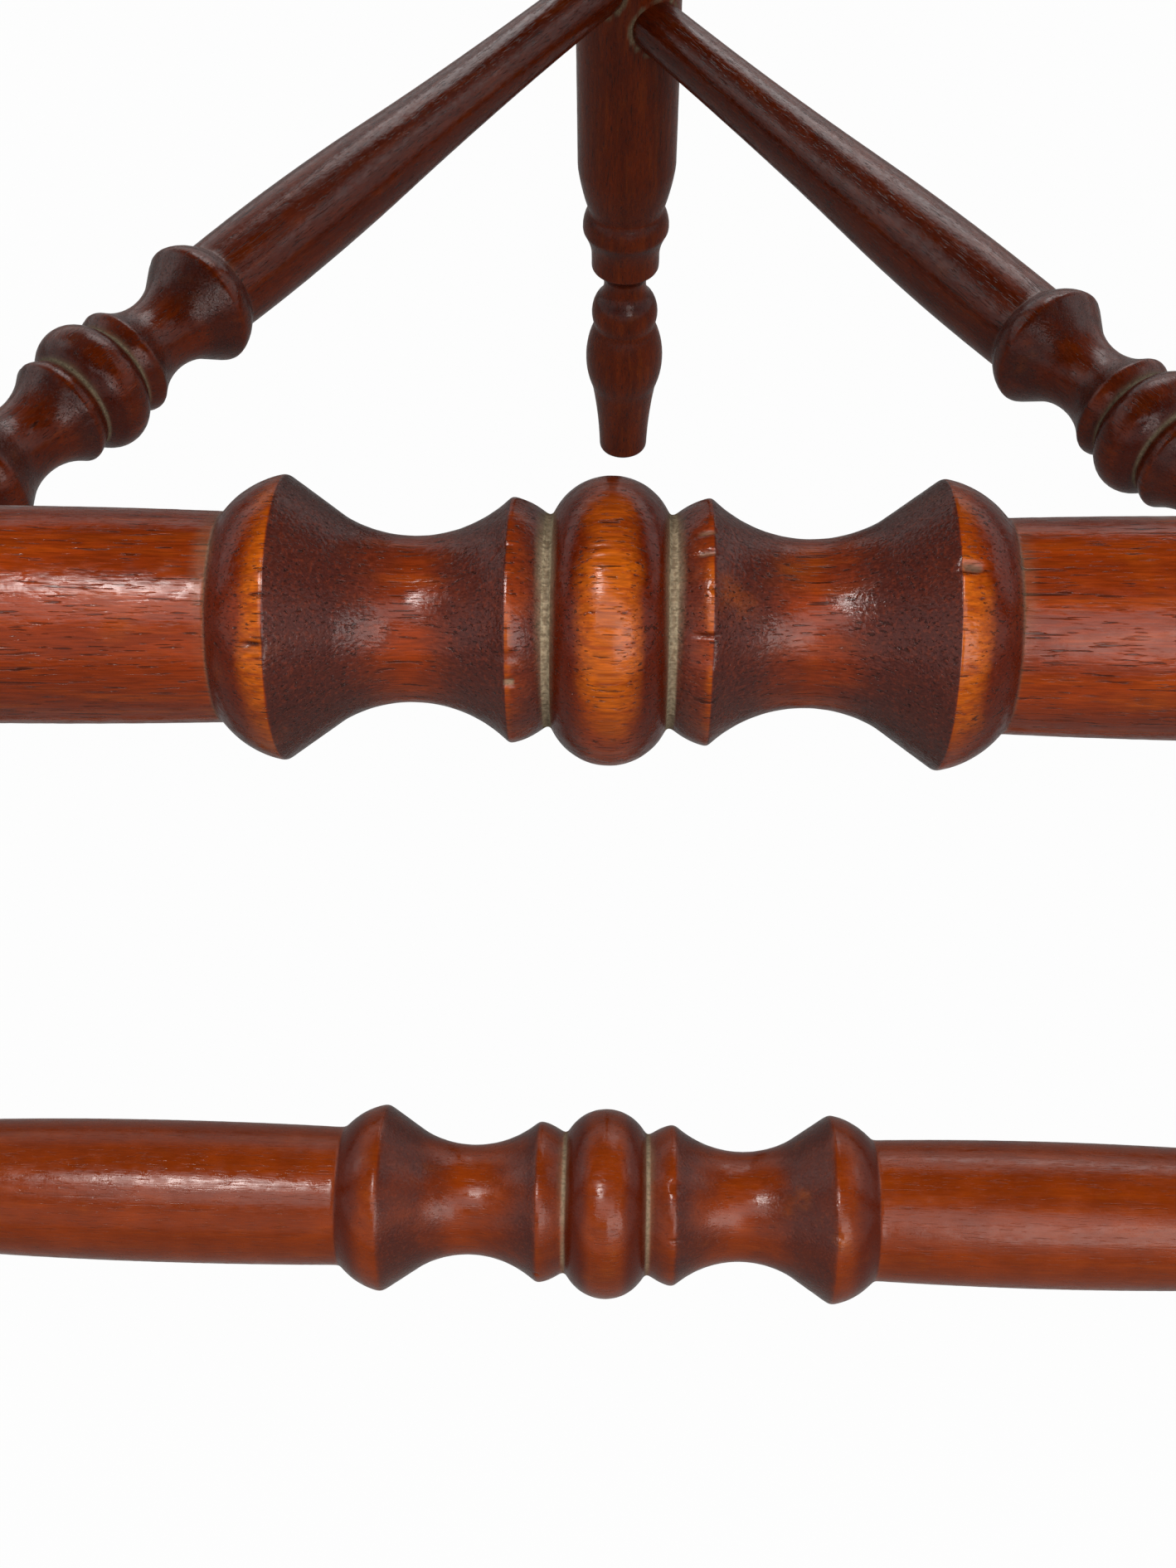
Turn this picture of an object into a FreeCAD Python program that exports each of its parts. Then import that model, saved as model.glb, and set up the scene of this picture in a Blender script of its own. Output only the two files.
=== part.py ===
import FreeCAD, Part
import os
import re
from collections import namedtuple

import Sketcher

# A three-cornered chair: turned legs that rise as posts, two levels of turned stretchers, a rush seat,
# a low spindled back and a flat bent arm with a crest. Millimetres, +Z up, the front towards -Y,
# the origin on the floor under the middle of the chair.

SIZES = {
    # Plan of the three legs
    "front_span": 500.0,  # between the axes of the two front legs
    "plan_depth": 385.0,  # from the front legs' line to the axis of the rear leg
    # Heights of the members' axes above the floor, where a line names nothing else
    "lower_height": 164.0,  # lower front stretcher
    "upper_height": 316.0,  # upper front stretcher
    "stagger": 12.0,  # rise from one stretcher to its neighbour, so that their mortises pass
    "seat_rail_height": 430.0,
    "back_rail_height": 70.0,  # above the seat rails
    "arm_height": 248.0,  # underside of the arms above the seat rails
    # Joints
    "glue_gap": 0.1,  # radial room round a tenon
    "tip_gap": 0.4,  # room past the tip of a tenon
    "joint_wall": 0.6,  # wood left between two neighbouring mortises
    "tenon_radius": 5.5,
    "mortise_floor": 2.4,  # from the leg's axis
    "socket_sink": 0.2,  # how far a stretcher's rim is let into the leg's side
    # Ring, cove and bead group on every turned member, from its middle outwards
    "bead_radius": 16.5,
    "bead_half": 6.6,
    "groove_radius": 12.1,
    "groove_width": 0.5,
    "collar_offset": 11.2,
    "collar_radius": 14.1,
    "collar_rise": 0.3,
    "cove_sag": 3.2,
    "flank_offset": 30.2,
    "flank_radius": 11.6,
    "flange_offset": 36.9,
    "flange_radius": 16.4,
    "flange_rise": 0.8,
    "flange_end": 44.0,
    "neck_radius": 12.1,
    "side_across": 0.95,  # radii of the group on a side stretcher against these
    "lower_front_along": 1.07,  # lengths of the group on the lower front stretcher against these
    # Plain lengths of a stretcher
    "swell_end": 115.0,  # from the middle of the stretcher
    "swell_radius": 11.7,
    "side_swell_radius": 10.4,
    "swell_rise": 0.7,
    "taper_sag": 0.6,
    "end_radius": 7.8,
    # Turned foot of a leg, upwards from the floor
    "foot_radius": 8.7,
    "foot_edge": 1.5,
    "foot_flare_sag": 0.5,
    "bulb_start": 30.0,
    "bulb_start_radius": 11.4,
    "bulb_rise": 2.7,
    "bulb_end": 57.0,
    "waist_radius": 10.5,
    "ankle_ring_rise": 1.3,
    "ankle_ring_end": 68.0,
    "ankle_radius": 10.0,
    "ankle_sag": 3.5,
    "ankle_top": 81.5,
    "band_radius": 11.6,
    "band_top": 87.5,
    "lip_sag": 0.5,
    "lip_height": 96.5,
    "lip_radius": 14.5,
    "lip_rise": 0.7,
    "lip_top": 104.5,
    "lip_groove_radius": 12.5,
    "shoulder_rise": 0.4,
    "shoulder_top": 121.0,
    "leg_radius": 16.1,
    # Bead on the leg between the two levels of stretchers
    "leg_bead_half": 8.0,
    "leg_bead_cut": 2.2,
    "leg_bead_rise": 3.0,
    "leg_bead_cone": 2.5,
    # Arm post above the seat
    "post_margin": 12.0,  # plain wood above the back rail's socket
    "post_step": 6.0,
    "post_step_rise": 1.2,
    "post_group_share": 0.72,  # of the post's turned length
    "post_top_radius": 10.9,
    "post_collar": 12.0,
    "post_collar_rise": 2.6,
    "post_tenon_radius": 9.0,
    "crest_tenon": 14.0,  # rear post's tenon above the arms
    "wedge_depth": 14.0,
    "wedge_thick": 2.6,
    "wedge_tip": 1.2,
    # Seat
    "rail_thickness": 18.0,
    "rail_depth": 30.0,
    "rail_round": 6.0,
    "rail_gap": 0.3,
    "rush_wrap": 4.5,
    "rush_round": 12.0,
    "stuffing_setback": 30.0,  # from a rail's end, along the rail
    # Back
    "back_rail_radius": 10.4,
    "back_rail_taper": 105.0,  # from a post's axis to the end of the taper
    "spindle_radius": 4.0,
    "spindle_drop": 2.0,  # of its foot below the back rail's axis
    "spindle_bare": 14.0,  # straight length at its foot
    "spindle_sink": 13.0,  # of its top above the arm's underside
    "spindle_swell": 1.0,
    "spindle_across": 0.5,  # group's radii against a stretcher's
    "spindle_along": 0.6,  # group's lengths against a stretcher's
    # Arms and crest
    "arm_width": 60.0,
    "arm_thickness": 22.0,
    "arm_top_round": 7.0,
    "arm_under_round": 4.0,
    "arm_overhang": 30.0,  # from a front post's axis to the middle of the rounded end
    "back_radius": 140.0,
    "back_turn": 58.0,  # degrees from the middle of the back to the end of the rear bend
    "lap_half": 24.0,
    "crest_width": 34.0,
    "crest_height": 44.0,
    "crest_turn": 52.0,  # degrees from the middle to an end of the crest
    "crest_flat": 36.0,  # half of the level top
    "crest_fall": 46.0,  # length of the ogee along the front
    "crest_end_height": 13.0,
    "crest_ogee_rise": 5.0,
    "dowel_radius": 4.0,
    "dowel_turn": 24.0,  # degrees from the middle
    "dowel_below": 11.0,
    "dowel_above": 13.0,
}

SPINDLES_PER_SIDE = 4

# Sizes that follow from the others. Plan values have y measured from the front legs' line.
LAYOUT = {
    "half_span": "front_span / 2",
    "side_run": "sqrt(half_span ^ 2 + plan_depth ^ 2)",
    "side_cos": "half_span / side_run",
    "side_sin": "plan_depth / side_run",
    "front_half_tan": "sqrt((1 - side_cos) / (1 + side_cos))",
    "rear_half_tan": "side_cos / side_sin",
    # Distance apart of two neighbouring axes, for each unit of distance from the leg's axis
    "spread": "min(sqrt(2 - 2 * side_cos); 2 * side_cos)",
    "rim_reach": "sqrt(leg_radius ^ 2 - (end_radius + glue_gap) ^ 2) - socket_sink",
    "rim_pass": "sqrt(max(0; (2 * (end_radius + glue_gap) + joint_wall) ^ 2 - stagger ^ 2)) / spread",
    "shoulder_reach": "max(rim_reach; rim_pass)",
    "tenon_pass": "sqrt(max(0; (2 * (tenon_radius + glue_gap) + joint_wall) ^ 2 - stagger ^ 2)) / spread",
    "floor_reach": "max(mortise_floor; tenon_pass)",
    "tip_reach": "floor_reach + tip_gap",
    "rail_reach": "max(leg_radius; rail_thickness / 2 / min(front_half_tan; rear_half_tan)) + rail_gap",
    "back_rail_level": "seat_rail_height + back_rail_height",
    "arm_level": "seat_rail_height + arm_height",
    "leg_bead_height": "(lower_height + 2 * stagger + upper_height) / 2",
    "post_low": "back_rail_level + stagger + end_radius + post_margin",
    "post_high": "arm_level - post_collar",
    "post_middle": "(post_low + post_step + post_high) / 2",
    "post_along": "post_group_share * (post_high - post_low - post_step) / (2 * flange_end)",
    # Rear bend of the arms, then a side arc that is tangent to it and passes over a front post
    "arm_half": "arm_width / 2",
    "arm_top": "arm_level + arm_thickness",
    "bend_x": "sin(back_turn * 1 deg)",
    "bend_y": "cos(back_turn * 1 deg)",
    "bend_middle": "plan_depth - back_radius",
    "turn_x": "back_radius * bend_x",
    "turn_y": "bend_middle + back_radius * bend_y",
    "post_dx": "half_span - turn_x",
    "post_dy": "-turn_y",
    "side_radius": "-(post_dx ^ 2 + post_dy ^ 2) / (2 * (post_dx * bend_x + post_dy * bend_y))",
    "side_mid_x": "turn_x - side_radius * bend_x",
    "side_mid_y": "turn_y - side_radius * bend_y",
    "post_angle": "atan2(-side_mid_y; half_span - side_mid_x) / (1 deg)",
    "turn_angle": "90 - back_turn",
    "side_arc": "side_radius * (turn_angle - post_angle) * pi / 180",
    "arm_path": "side_arc + back_radius * back_turn * pi / 180",
    "tip_angle": "post_angle - arm_overhang / side_radius * 180 / pi",
    "tip_cos": "cos(tip_angle * 1 deg)",
    "tip_sin": "sin(tip_angle * 1 deg)",
    "tip_x": "side_mid_x + side_radius * tip_cos",
    "tip_y": "side_mid_y + side_radius * tip_sin",
    # Places of the front legs' line and of the rear leg, with the origin under the middle of the chair
    "front_y": "-(plan_depth + tip_y) / 2",
    "rear_y": "plan_depth + front_y",
    "rush_top": "seat_rail_height + rail_depth / 2 + rail_gap + rush_wrap",
    "rush_thick": "rail_depth + 2 * (rail_gap + rush_wrap)",
    "rush_edge": "rail_thickness / 2 + rail_gap + rush_wrap",
}


def spindle_layout():
    """Formulas for where each spindle's axis meets its back rail, and for its way from there to its top.

    The tops are spaced evenly along the arm's middle line, on its side arc or on its rear bend.
    """
    formulas = {}
    for index in range(1, SPINDLES_PER_SIDE + 1):
        share = f"{index} / {SPINDLES_PER_SIDE + 1}"
        reach, side, rear = f"reach_{index}", f"side_turn_{index}", f"rear_turn_{index}"
        formulas[reach] = f"arm_path * {share}"
        formulas[side] = f"post_angle + {reach} / side_radius * 180 / pi"
        formulas[rear] = f"turn_angle + ({reach} - side_arc) / back_radius * 180 / pi"
        on_side_x = f"side_mid_x + side_radius * cos({side} * 1 deg)"
        on_side_y = f"side_mid_y + side_radius * sin({side} * 1 deg)"
        on_rear_x = f"back_radius * cos({rear} * 1 deg)"
        on_rear_y = f"bend_middle + back_radius * sin({rear} * 1 deg)"
        formulas[f"foot_x_{index}"] = f"half_span * (1 - {share})"
        formulas[f"foot_y_{index}"] = f"plan_depth * {share}"
        formulas[f"out_{index}"] = f"({reach} < side_arc ? {on_side_x} : {on_rear_x}) - foot_x_{index}"
        formulas[f"back_{index}"] = f"({reach} < side_arc ? {on_side_y} : {on_rear_y}) - foot_y_{index}"
        for hand, height in (("right", "back_rail_level"), ("left", "back_rail_level + stagger")):
            rise, length = f"{hand}_rise_{index}", f"{hand}_length_{index}"
            formulas[rise] = f"arm_level + spindle_sink - ({height})"
            formulas[length] = f"sqrt(out_{index} ^ 2 + back_{index} ^ 2 + {rise} ^ 2)"
            formulas[f"{hand}_lean_{index}"] = f"acos({rise} / {length}) / (1 deg)"
    return formulas


LAYOUT |= spindle_layout()
OWNERS = {name: "Sizes." for name in SIZES} | {name: "Layout." for name in LAYOUT}

Corner = namedtuple("Corner", "x y rise")
Station = namedtuple("Station", "place radius rise", defaults=[None])
Leg = namedtuple("Leg", "x y top")
Member = namedtuple("Member", "start end height swell along across",
                    defaults=["side_swell_radius", "1", "side_across"])
Side = namedtuple("Side", "start run east north")

LEGS = {
    "left_front_leg": Leg("-half_span", "front_y", "arm_top"),
    "right_front_leg": Leg("half_span", "front_y", "arm_top"),
    "rear_leg": Leg("0", "rear_y", "arm_top + crest_tenon"),
}

# The three sides of the plan, each from its first leg towards its second
SIDES = {
    ("left_front_leg", "right_front_leg"): Side("left_front_leg", "front_span", "1", "0"),
    ("right_front_leg", "rear_leg"): Side("right_front_leg", "side_run", "-side_cos", "side_sin"),
    ("left_front_leg", "rear_leg"): Side("left_front_leg", "side_run", "side_cos", "side_sin"),
}

# Plain radius and the group's scales on the front stretchers, which are stouter than the side ones
LOWER_FRONT = ("swell_radius", "lower_front_along", "1")
UPPER_FRONT = ("swell_radius", "1", "1")
STRETCHERS = {
    "lower_front_stretcher": Member("left_front_leg", "right_front_leg", "lower_height", *LOWER_FRONT),
    "lower_right_stretcher": Member("right_front_leg", "rear_leg", "lower_height + stagger"),
    "lower_left_stretcher": Member("left_front_leg", "rear_leg", "lower_height + 2 * stagger"),
    "upper_front_stretcher": Member("left_front_leg", "right_front_leg", "upper_height", *UPPER_FRONT),
    "upper_right_stretcher": Member("right_front_leg", "rear_leg", "upper_height + stagger"),
    "upper_left_stretcher": Member("left_front_leg", "rear_leg", "upper_height + 2 * stagger"),
}

BACK_RAILS = {
    "right_back_rail": Member("right_front_leg", "rear_leg", "back_rail_level"),
    "left_back_rail": Member("left_front_leg", "rear_leg", "back_rail_level + stagger"),
}

# A seat rail's two tenons sit above or below its middle, so that neighbours pass each other in the leg
HIGH = "seat_rail_height + stagger / 2"
LOW = "seat_rail_height - stagger / 2"
SEAT_RAILS = {
    "front_seat_rail": (Member("left_front_leg", "right_front_leg", "seat_rail_height"), LOW, LOW),
    "right_seat_rail": (Member("right_front_leg", "rear_leg", "seat_rail_height"), HIGH, HIGH),
    "left_seat_rail": (Member("left_front_leg", "rear_leg", "seat_rail_height"), HIGH, LOW),
}

doc = FreeCAD.newDocument("CornerChair")
sheet = doc.addObject("Spreadsheet::Sheet", "Sizes")
layout = doc.addObject("App::VarSet", "Layout")


def bound(formula):
    """Give every named size in a formula the object that holds it."""
    return re.sub(r"[a-z_]\w*", lambda word: OWNERS.get(word[0], "") + word[0], formula)


def number(formula):
    """Work out a formula of named sizes."""
    result = layout.evalExpression(bound(formula))
    return float(getattr(result, "Value", result))


def write_sizes():
    """Fill the sheet with the driving sizes and the layout with what follows from them."""
    for row, (alias, size) in enumerate(SIZES.items(), start=1):
        sheet.set(f"A{row}", alias)
        sheet.set(f"B{row}", str(size))
        sheet.setAlias(f"B{row}", alias)
    doc.recompute()
    for name, formula in LAYOUT.items():
        layout.addProperty("App::PropertyFloat", name, "Layout")
        layout.setExpression(name, bound(formula))
    doc.recompute()


def bind(piece, **formulas):
    """Bind properties of an object to formulas of named sizes."""
    for name, formula in formulas.items():
        piece.setExpression(name, bound(formula))


def place(piece, base, axis=("0", "0", "1"), angle="0"):
    """Bind an object's placement to formulas: its base point, and a turn about an axis."""
    spot = "create(<<vector>>; " + "; ".join(base) + ")"
    pole = "create(<<vector>>; " + "; ".join(axis) + ")"
    turn = f"create(<<rotation>>; {pole}; {angle})"
    bind(piece, Placement=f"create(<<placement>>; {spot}; {turn})")


def new_body(name):
    """Start a body."""
    return doc.addObject("PartDesign::Body", name)


def arc_radius(start, end, rise):
    """Radius of an arc between two corners, from the height of its middle above the chord."""
    chord = f"(({end.x}) - ({start.x})) ^ 2 + (({end.y}) - ({start.y})) ^ 2"
    return f"({chord}) / (8 * abs({rise})) + abs({rise}) / 2"


def sketch_outline(body, role, corners):
    """Draw a closed outline on one of the body's origin planes, with every corner and arc bound.

    A corner's rise is the height of the arc that follows it, positive to the right of the way round.
    """
    sketch = body.newObject("Sketcher::SketchObject", "Outline")
    plane = next(item for item in body.Origin.OriginFeatures if item.Role == role)
    sketch.AttachmentSupport = (plane, [""])
    sketch.MapMode = "FlatFace"
    points = [FreeCAD.Vector(number(corner.x), number(corner.y), 0) for corner in corners]
    edges = []
    for index, corner in enumerate(corners):
        start, end = points[index], points[(index + 1) % len(points)]
        if corner.rise is None:
            edges.append(Part.LineSegment(start, end))
        else:
            chord = end - start
            right = FreeCAD.Vector(chord.y, -chord.x, 0).normalize()
            edges.append(Part.Arc(start, (start + end) / 2 + right * number(corner.rise), end))
    first = sketch.addGeometry(edges)[0]

    def end_nearest(edge, point):
        """The end of an edge, 1 or 2, that lies at a point."""
        return min((1, 2), key=lambda end: (sketch.getPoint(edge, end) - point).Length)

    rules = []
    formulas = {}
    for index, corner in enumerate(corners):
        edge, before = first + index, first + (index - 1) % len(corners)
        here, there = end_nearest(edge, points[index]), end_nearest(before, points[index])
        rules.append(Sketcher.Constraint("Coincident", before, there, edge, here))
        for kind, formula, axis in (("DistanceX", corner.x, -2), ("DistanceY", corner.y, -1)):
            if formula == "0":
                rules.append(Sketcher.Constraint("PointOnObject", edge, here, axis))
            else:
                formulas[len(rules)] = formula
                rules.append(Sketcher.Constraint(kind, edge, here, number(formula)))
        if corner.rise is not None:
            formula = arc_radius(corner, corners[(index + 1) % len(corners)], corner.rise)
            formulas[len(rules)] = formula
            rules.append(Sketcher.Constraint("Radius", edge, number(formula)))
    sketch.addConstraint(rules)
    for rule, formula in formulas.items():
        sketch.setExpression(f"Constraints[{rule}]", bound(formula))
    return sketch


def turn_body(name, stations):
    """Turn a solid about the Z axis of its own body, from stations that start and end on the axis."""
    body = new_body(name)
    corners = [Corner(station.radius, station.place, station.rise) for station in stations]
    sketch = sketch_outline(body, "XZ_Plane", corners)
    turning = body.newObject("PartDesign::Revolution", "Turning")
    turning.Profile = sketch
    turning.ReferenceAxis = (sketch, ["V_Axis"])
    turning.Angle = 360
    return body


def pad_body(name, role, corners, length):
    """Raise a solid from an outline on one of the body's origin planes."""
    body = new_body(name)
    pad = body.newObject("PartDesign::Pad", "Board")
    pad.Profile = sketch_outline(body, role, corners)
    bind(pad, Length=length)
    return body, pad


def round_edges(body, base, wanted, radius):
    """Round those edges of a feature that a test picks out."""
    doc.recompute()
    fillet = body.newObject("PartDesign::Fillet", "Rounding")
    names = [f"Edge{index}" for index, edge in enumerate(base.Shape.Edges, start=1) if wanted(edge)]
    fillet.Base = (base, names)
    bind(fillet, Radius=radius)
    return fillet


def rod(name, base, direction, lean, radius, length):
    """A round rod or bore from a point, along a direction that leans from the vertical by an angle."""
    cylinder = doc.addObject("Part::Cylinder", name)
    bind(cylinder, Radius=radius, Height=length)
    place(cylinder, base, (f"-({direction[1]})", direction[0], "0"), lean)
    return cylinder


def joined(label, solids):
    """Fuse solids into one piece."""
    fusion = doc.addObject("Part::MultiFuse", label)
    fusion.Shapes = solids
    return fusion


def bored(label, blank, tools):
    """Cut tools out of a blank."""
    cut = doc.addObject("Part::Cut", label)
    cut.Base = blank
    cut.Tool = tools[0] if len(tools) == 1 else joined(f"{label}_bores", tools)
    return cut


# Turned profiles


def turned_group(middle, along="1", across="1"):
    """Stations of the ring, cove and bead group about a middle, upwards, scaled along and across."""
    outwards = [
        Station("bead_half", "groove_radius"),
        Station("bead_half + groove_width", "groove_radius", "collar_rise"),
        Station("collar_offset", "collar_radius", "-cove_sag"),
        Station("flank_offset", "flank_radius"),
        Station("flange_offset", "flange_radius", "flange_rise"),
        Station("flange_end", "neck_radius"),
    ]
    rises = [station.rise and f"({station.rise}) * ({across})" for station in outwards]

    def scaled(station, sign, rise):
        """A station on one side of the middle."""
        spot = f"{middle} {sign} ({station.place}) * ({along})"
        return Station(spot, f"({station.radius}) * ({across})", rise)

    bead_rise = f"(bead_radius - groove_radius) * ({across})"
    downwards_rises = [bead_rise] + rises[:-1]
    below = [scaled(station, "-", rise) for station, rise in zip(outwards, downwards_rises)]
    above = [scaled(station, "+", rise) for station, rise in zip(outwards, rises)]
    return below[::-1] + above


def stretcher_stations(member):
    """A stretcher between two legs' axes: tenons, tapers, swells and the turned group."""
    run = SIDES[member.start, member.end].run
    middle = f"{run} / 2"
    group = turned_group(middle, member.along, member.across)
    return [
        Station("tip_reach", "0"),
        Station("tip_reach", "tenon_radius"),
        Station("shoulder_reach", "tenon_radius"),
        Station("shoulder_reach", "end_radius", "-taper_sag"),
        Station(f"{middle} - swell_end", member.swell, "swell_rise"),
        *group[:-1],
        group[-1]._replace(rise="swell_rise"),
        Station(f"{middle} + swell_end", member.swell, "-taper_sag"),
        Station(f"{run} - shoulder_reach", "end_radius"),
        Station(f"{run} - shoulder_reach", "tenon_radius"),
        Station(f"{run} - tip_reach", "tenon_radius"),
        Station(f"{run} - tip_reach", "0"),
    ]


def back_rail_stations(member):
    """A back rail between two posts' axes: a plain rod, tapered to its tenons."""
    run = SIDES[member.start, member.end].run
    return [
        Station("tip_reach", "0"),
        Station("tip_reach", "tenon_radius"),
        Station("shoulder_reach", "tenon_radius"),
        Station("shoulder_reach", "end_radius"),
        Station("back_rail_taper", "back_rail_radius"),
        Station(f"{run} - back_rail_taper", "back_rail_radius"),
        Station(f"{run} - shoulder_reach", "end_radius"),
        Station(f"{run} - shoulder_reach", "tenon_radius"),
        Station(f"{run} - tip_reach", "tenon_radius"),
        Station(f"{run} - tip_reach", "0"),
    ]


def leg_stations(top):
    """A leg from the floor up: turned foot, shaft with a bead, turned post and tenon."""
    bead_low = "leg_bead_height - leg_bead_half"
    bead_high = "leg_bead_height + leg_bead_half"
    return [
        Station("0", "0"),
        Station("0", "foot_radius - foot_edge", "foot_edge * (1 - sqrt(0.5))"),
        Station("foot_edge", "foot_radius", "-foot_flare_sag"),
        Station("bulb_start", "bulb_start_radius", "bulb_rise"),
        Station("bulb_end", "waist_radius", "ankle_ring_rise"),
        Station("ankle_ring_end", "ankle_radius", "-ankle_sag"),
        Station("ankle_top", "band_radius"),
        Station("band_top", "band_radius", "-lip_sag"),
        Station("lip_height", "lip_radius", "lip_rise"),
        Station("lip_top", "lip_groove_radius", "shoulder_rise"),
        Station("shoulder_top", "leg_radius"),
        Station(f"{bead_low} - leg_bead_cone", "leg_radius"),
        Station(bead_low, "leg_radius - leg_bead_cut", "leg_bead_rise"),
        Station(bead_high, "leg_radius - leg_bead_cut"),
        Station(f"{bead_high} + leg_bead_cone", "leg_radius"),
        Station("post_low", "leg_radius", "post_step_rise"),
        Station("post_low + post_step", "neck_radius"),
        *turned_group("post_middle", "post_along"),
        Station("post_high", "post_top_radius", "post_collar_rise"),
        Station("arm_level", "post_top_radius"),
        Station("arm_level", "post_tenon_radius"),
        Station(top, "post_tenon_radius"),
        Station(top, "0"),
    ]


def spindle_stations(length):
    """A spindle from its foot up: straight ends for the rail and the arm, swells and a small group."""
    middle = f"({length} + spindle_bare - spindle_sink) / 2"
    group = turned_group(middle, "spindle_along", "spindle_across")
    return [
        Station("0", "0"),
        Station("0", "spindle_radius"),
        Station("spindle_bare", "spindle_radius", "spindle_swell"),
        *group[:-1],
        group[-1]._replace(rise="spindle_swell"),
        Station(f"{length} - 2 * spindle_sink", "spindle_radius"),
        Station(length, "spindle_radius"),
        Station(length, "0"),
    ]


# Members between the legs


def ends_at(member, leg):
    """The way from a leg along a member that ends there, as east and north formulas, or None."""
    side = SIDES[member.start, member.end]
    if leg == member.start:
        return side.east, side.north
    if leg == member.end:
        return f"-({side.east})", f"-({side.north})"
    return None


def along_from(leg, way, reach, height):
    """A point at a reach from a leg's axis along a way, at a height."""
    return f"{LEGS[leg].x} + ({way[0]}) * ({reach})", f"{LEGS[leg].y} + ({way[1]}) * ({reach})", height


def level_rod(name, leg, way, height, start, end, radius):
    """A level rod or bore out from a leg's axis, between two reaches."""
    base = along_from(leg, way, start, height)
    return rod(name, base, way, "90", radius, f"({end}) - ({start})")


def make_turned_member(label, member, stations):
    """A level turned member that starts at its first leg's axis."""
    side = SIDES[member.start, member.end]
    body = turn_body(label, stations(member))
    leg = LEGS[member.start]
    place(body, (leg.x, leg.y, member.height), (f"-({side.north})", side.east, "0"), "90")
    return body


def seat_rail_bar(name, member, reach, grow):
    """The rounded bar of a seat rail from a reach at each leg, grown for the channel that it lies in."""
    side = SIDES[member.start, member.end]
    half_thick = f"rail_thickness / 2 + {grow}"
    half_deep = f"rail_depth / 2 + {grow}"
    section = [
        Corner(f"-({half_thick})", f"-({half_deep})", None),
        Corner(half_thick, f"-({half_deep})", None),
        Corner(half_thick, half_deep, None),
        Corner(f"-({half_thick})", half_deep, None),
    ]
    body, pad = pad_body(name, "YZ_Plane", section, f"{side.run} - 2 * {reach}")
    round_edges(body, pad, lambda edge: edge.Length > number("rail_depth + rail_thickness"), "rail_round")
    base = along_from(member.start, (side.east, side.north), reach, member.height)
    place(body, base, angle=f"atan2({side.north}; {side.east})")
    return body


def make_seat_rail(label, member, start_height, end_height):
    """A seat rail: a bar with a round tenon at each end."""
    solids = [seat_rail_bar(f"{label}_bar", member, "rail_reach", "0")]
    for leg, height in ((member.start, start_height), (member.end, end_height)):
        way = ends_at(member, leg)
        bury = "rail_reach + rail_thickness / 2"
        solids.append(level_rod(f"{label}_tenon", leg, way, height, "tip_reach", bury, "tenon_radius"))
    return joined(label, solids)


def make_wedge(name, leg, grow):
    """A wedge across a front post's tenon, thick at the top, grown for its slot."""
    half_top = f"wedge_thick / 2 + {grow}"
    half_tip = f"wedge_tip / 2 + {grow}"
    corners = [
        Corner(f"-({half_tip})", f"-wedge_depth - {grow}", None),
        Corner(half_tip, f"-wedge_depth - {grow}", None),
        Corner(half_top, "0", None),
        Corner(f"-({half_top})", "0", None),
    ]
    body, pad = pad_body(name, "YZ_Plane", corners, f"2 * (post_tenon_radius - glue_gap + 2 * {grow})")
    pad.Midplane = True
    place(body, (leg.x, leg.y, leg.top))
    return body


def make_leg(label):
    """A leg with a socket and a mortise for every member that ends in it."""
    leg = LEGS[label]
    blank = turn_body(f"{label}_blank", leg_stations(leg.top))
    place(blank, (leg.x, leg.y, "0"))
    outside = "2 * leg_radius"
    tenon = "tenon_radius + glue_gap"
    tools = []
    for member in [*STRETCHERS.values(), *BACK_RAILS.values()]:
        way = ends_at(member, label)
        if way:
            rim = "end_radius + glue_gap"
            tools.append(level_rod("socket", label, way, member.height, "shoulder_reach", outside, rim))
            tools.append(level_rod("mortise", label, way, member.height, "floor_reach", outside, tenon))
    for member, start_height, end_height in SEAT_RAILS.values():
        way = ends_at(member, label)
        if way:
            height = start_height if label == member.start else end_height
            tools.append(level_rod("mortise", label, way, height, "floor_reach", outside, tenon))
    if label != "rear_leg":
        tools.append(make_wedge(f"{label}_slot", leg, "glue_gap"))
    return bored(label, blank, tools)


# Seat


def seat_outline(edge, setback):
    """The seat's plan: three sides moved out by an edge, each ending at a setback from the legs' axes."""
    ways = [("1", "0"), ("-side_cos", "side_sin"), ("-side_cos", "-side_sin")]
    starts = [("-half_span", "0"), ("half_span", "0"), ("0", "plan_depth")]
    corners = []
    for index, (east, north) in enumerate(ways):
        for (x, y), sign in ((starts[index], "+"), (starts[(index + 1) % 3], "-")):
            corner_x = f"{x} {sign} ({setback}) * ({east}) + ({edge}) * ({north})"
            corner_y = f"{y} {sign} ({setback}) * ({north}) - ({edge}) * ({east})"
            corners.append(Corner(corner_x, corner_y, None))
    return corners


def seat_slab(name, edge, setback, low, thick):
    """A flat slab of the seat's plan."""
    body, pad = pad_body(name, "XY_Plane", seat_outline(edge, setback), thick)
    place(body, ("0", "front_y", low))
    return body, pad


def make_stuffing(name, grow):
    """The stuffing between the rails, grown for the hollow that it fills."""
    edge = f"-(rail_thickness / 2 + 2 * rail_gap) + {grow}"
    low = f"seat_rail_height - rail_depth / 2 - {grow}"
    setback = f"rail_reach + stuffing_setback - {grow}"
    body, _ = seat_slab(name, edge, setback, low, f"rail_depth + 2 * {grow}")
    return body


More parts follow.
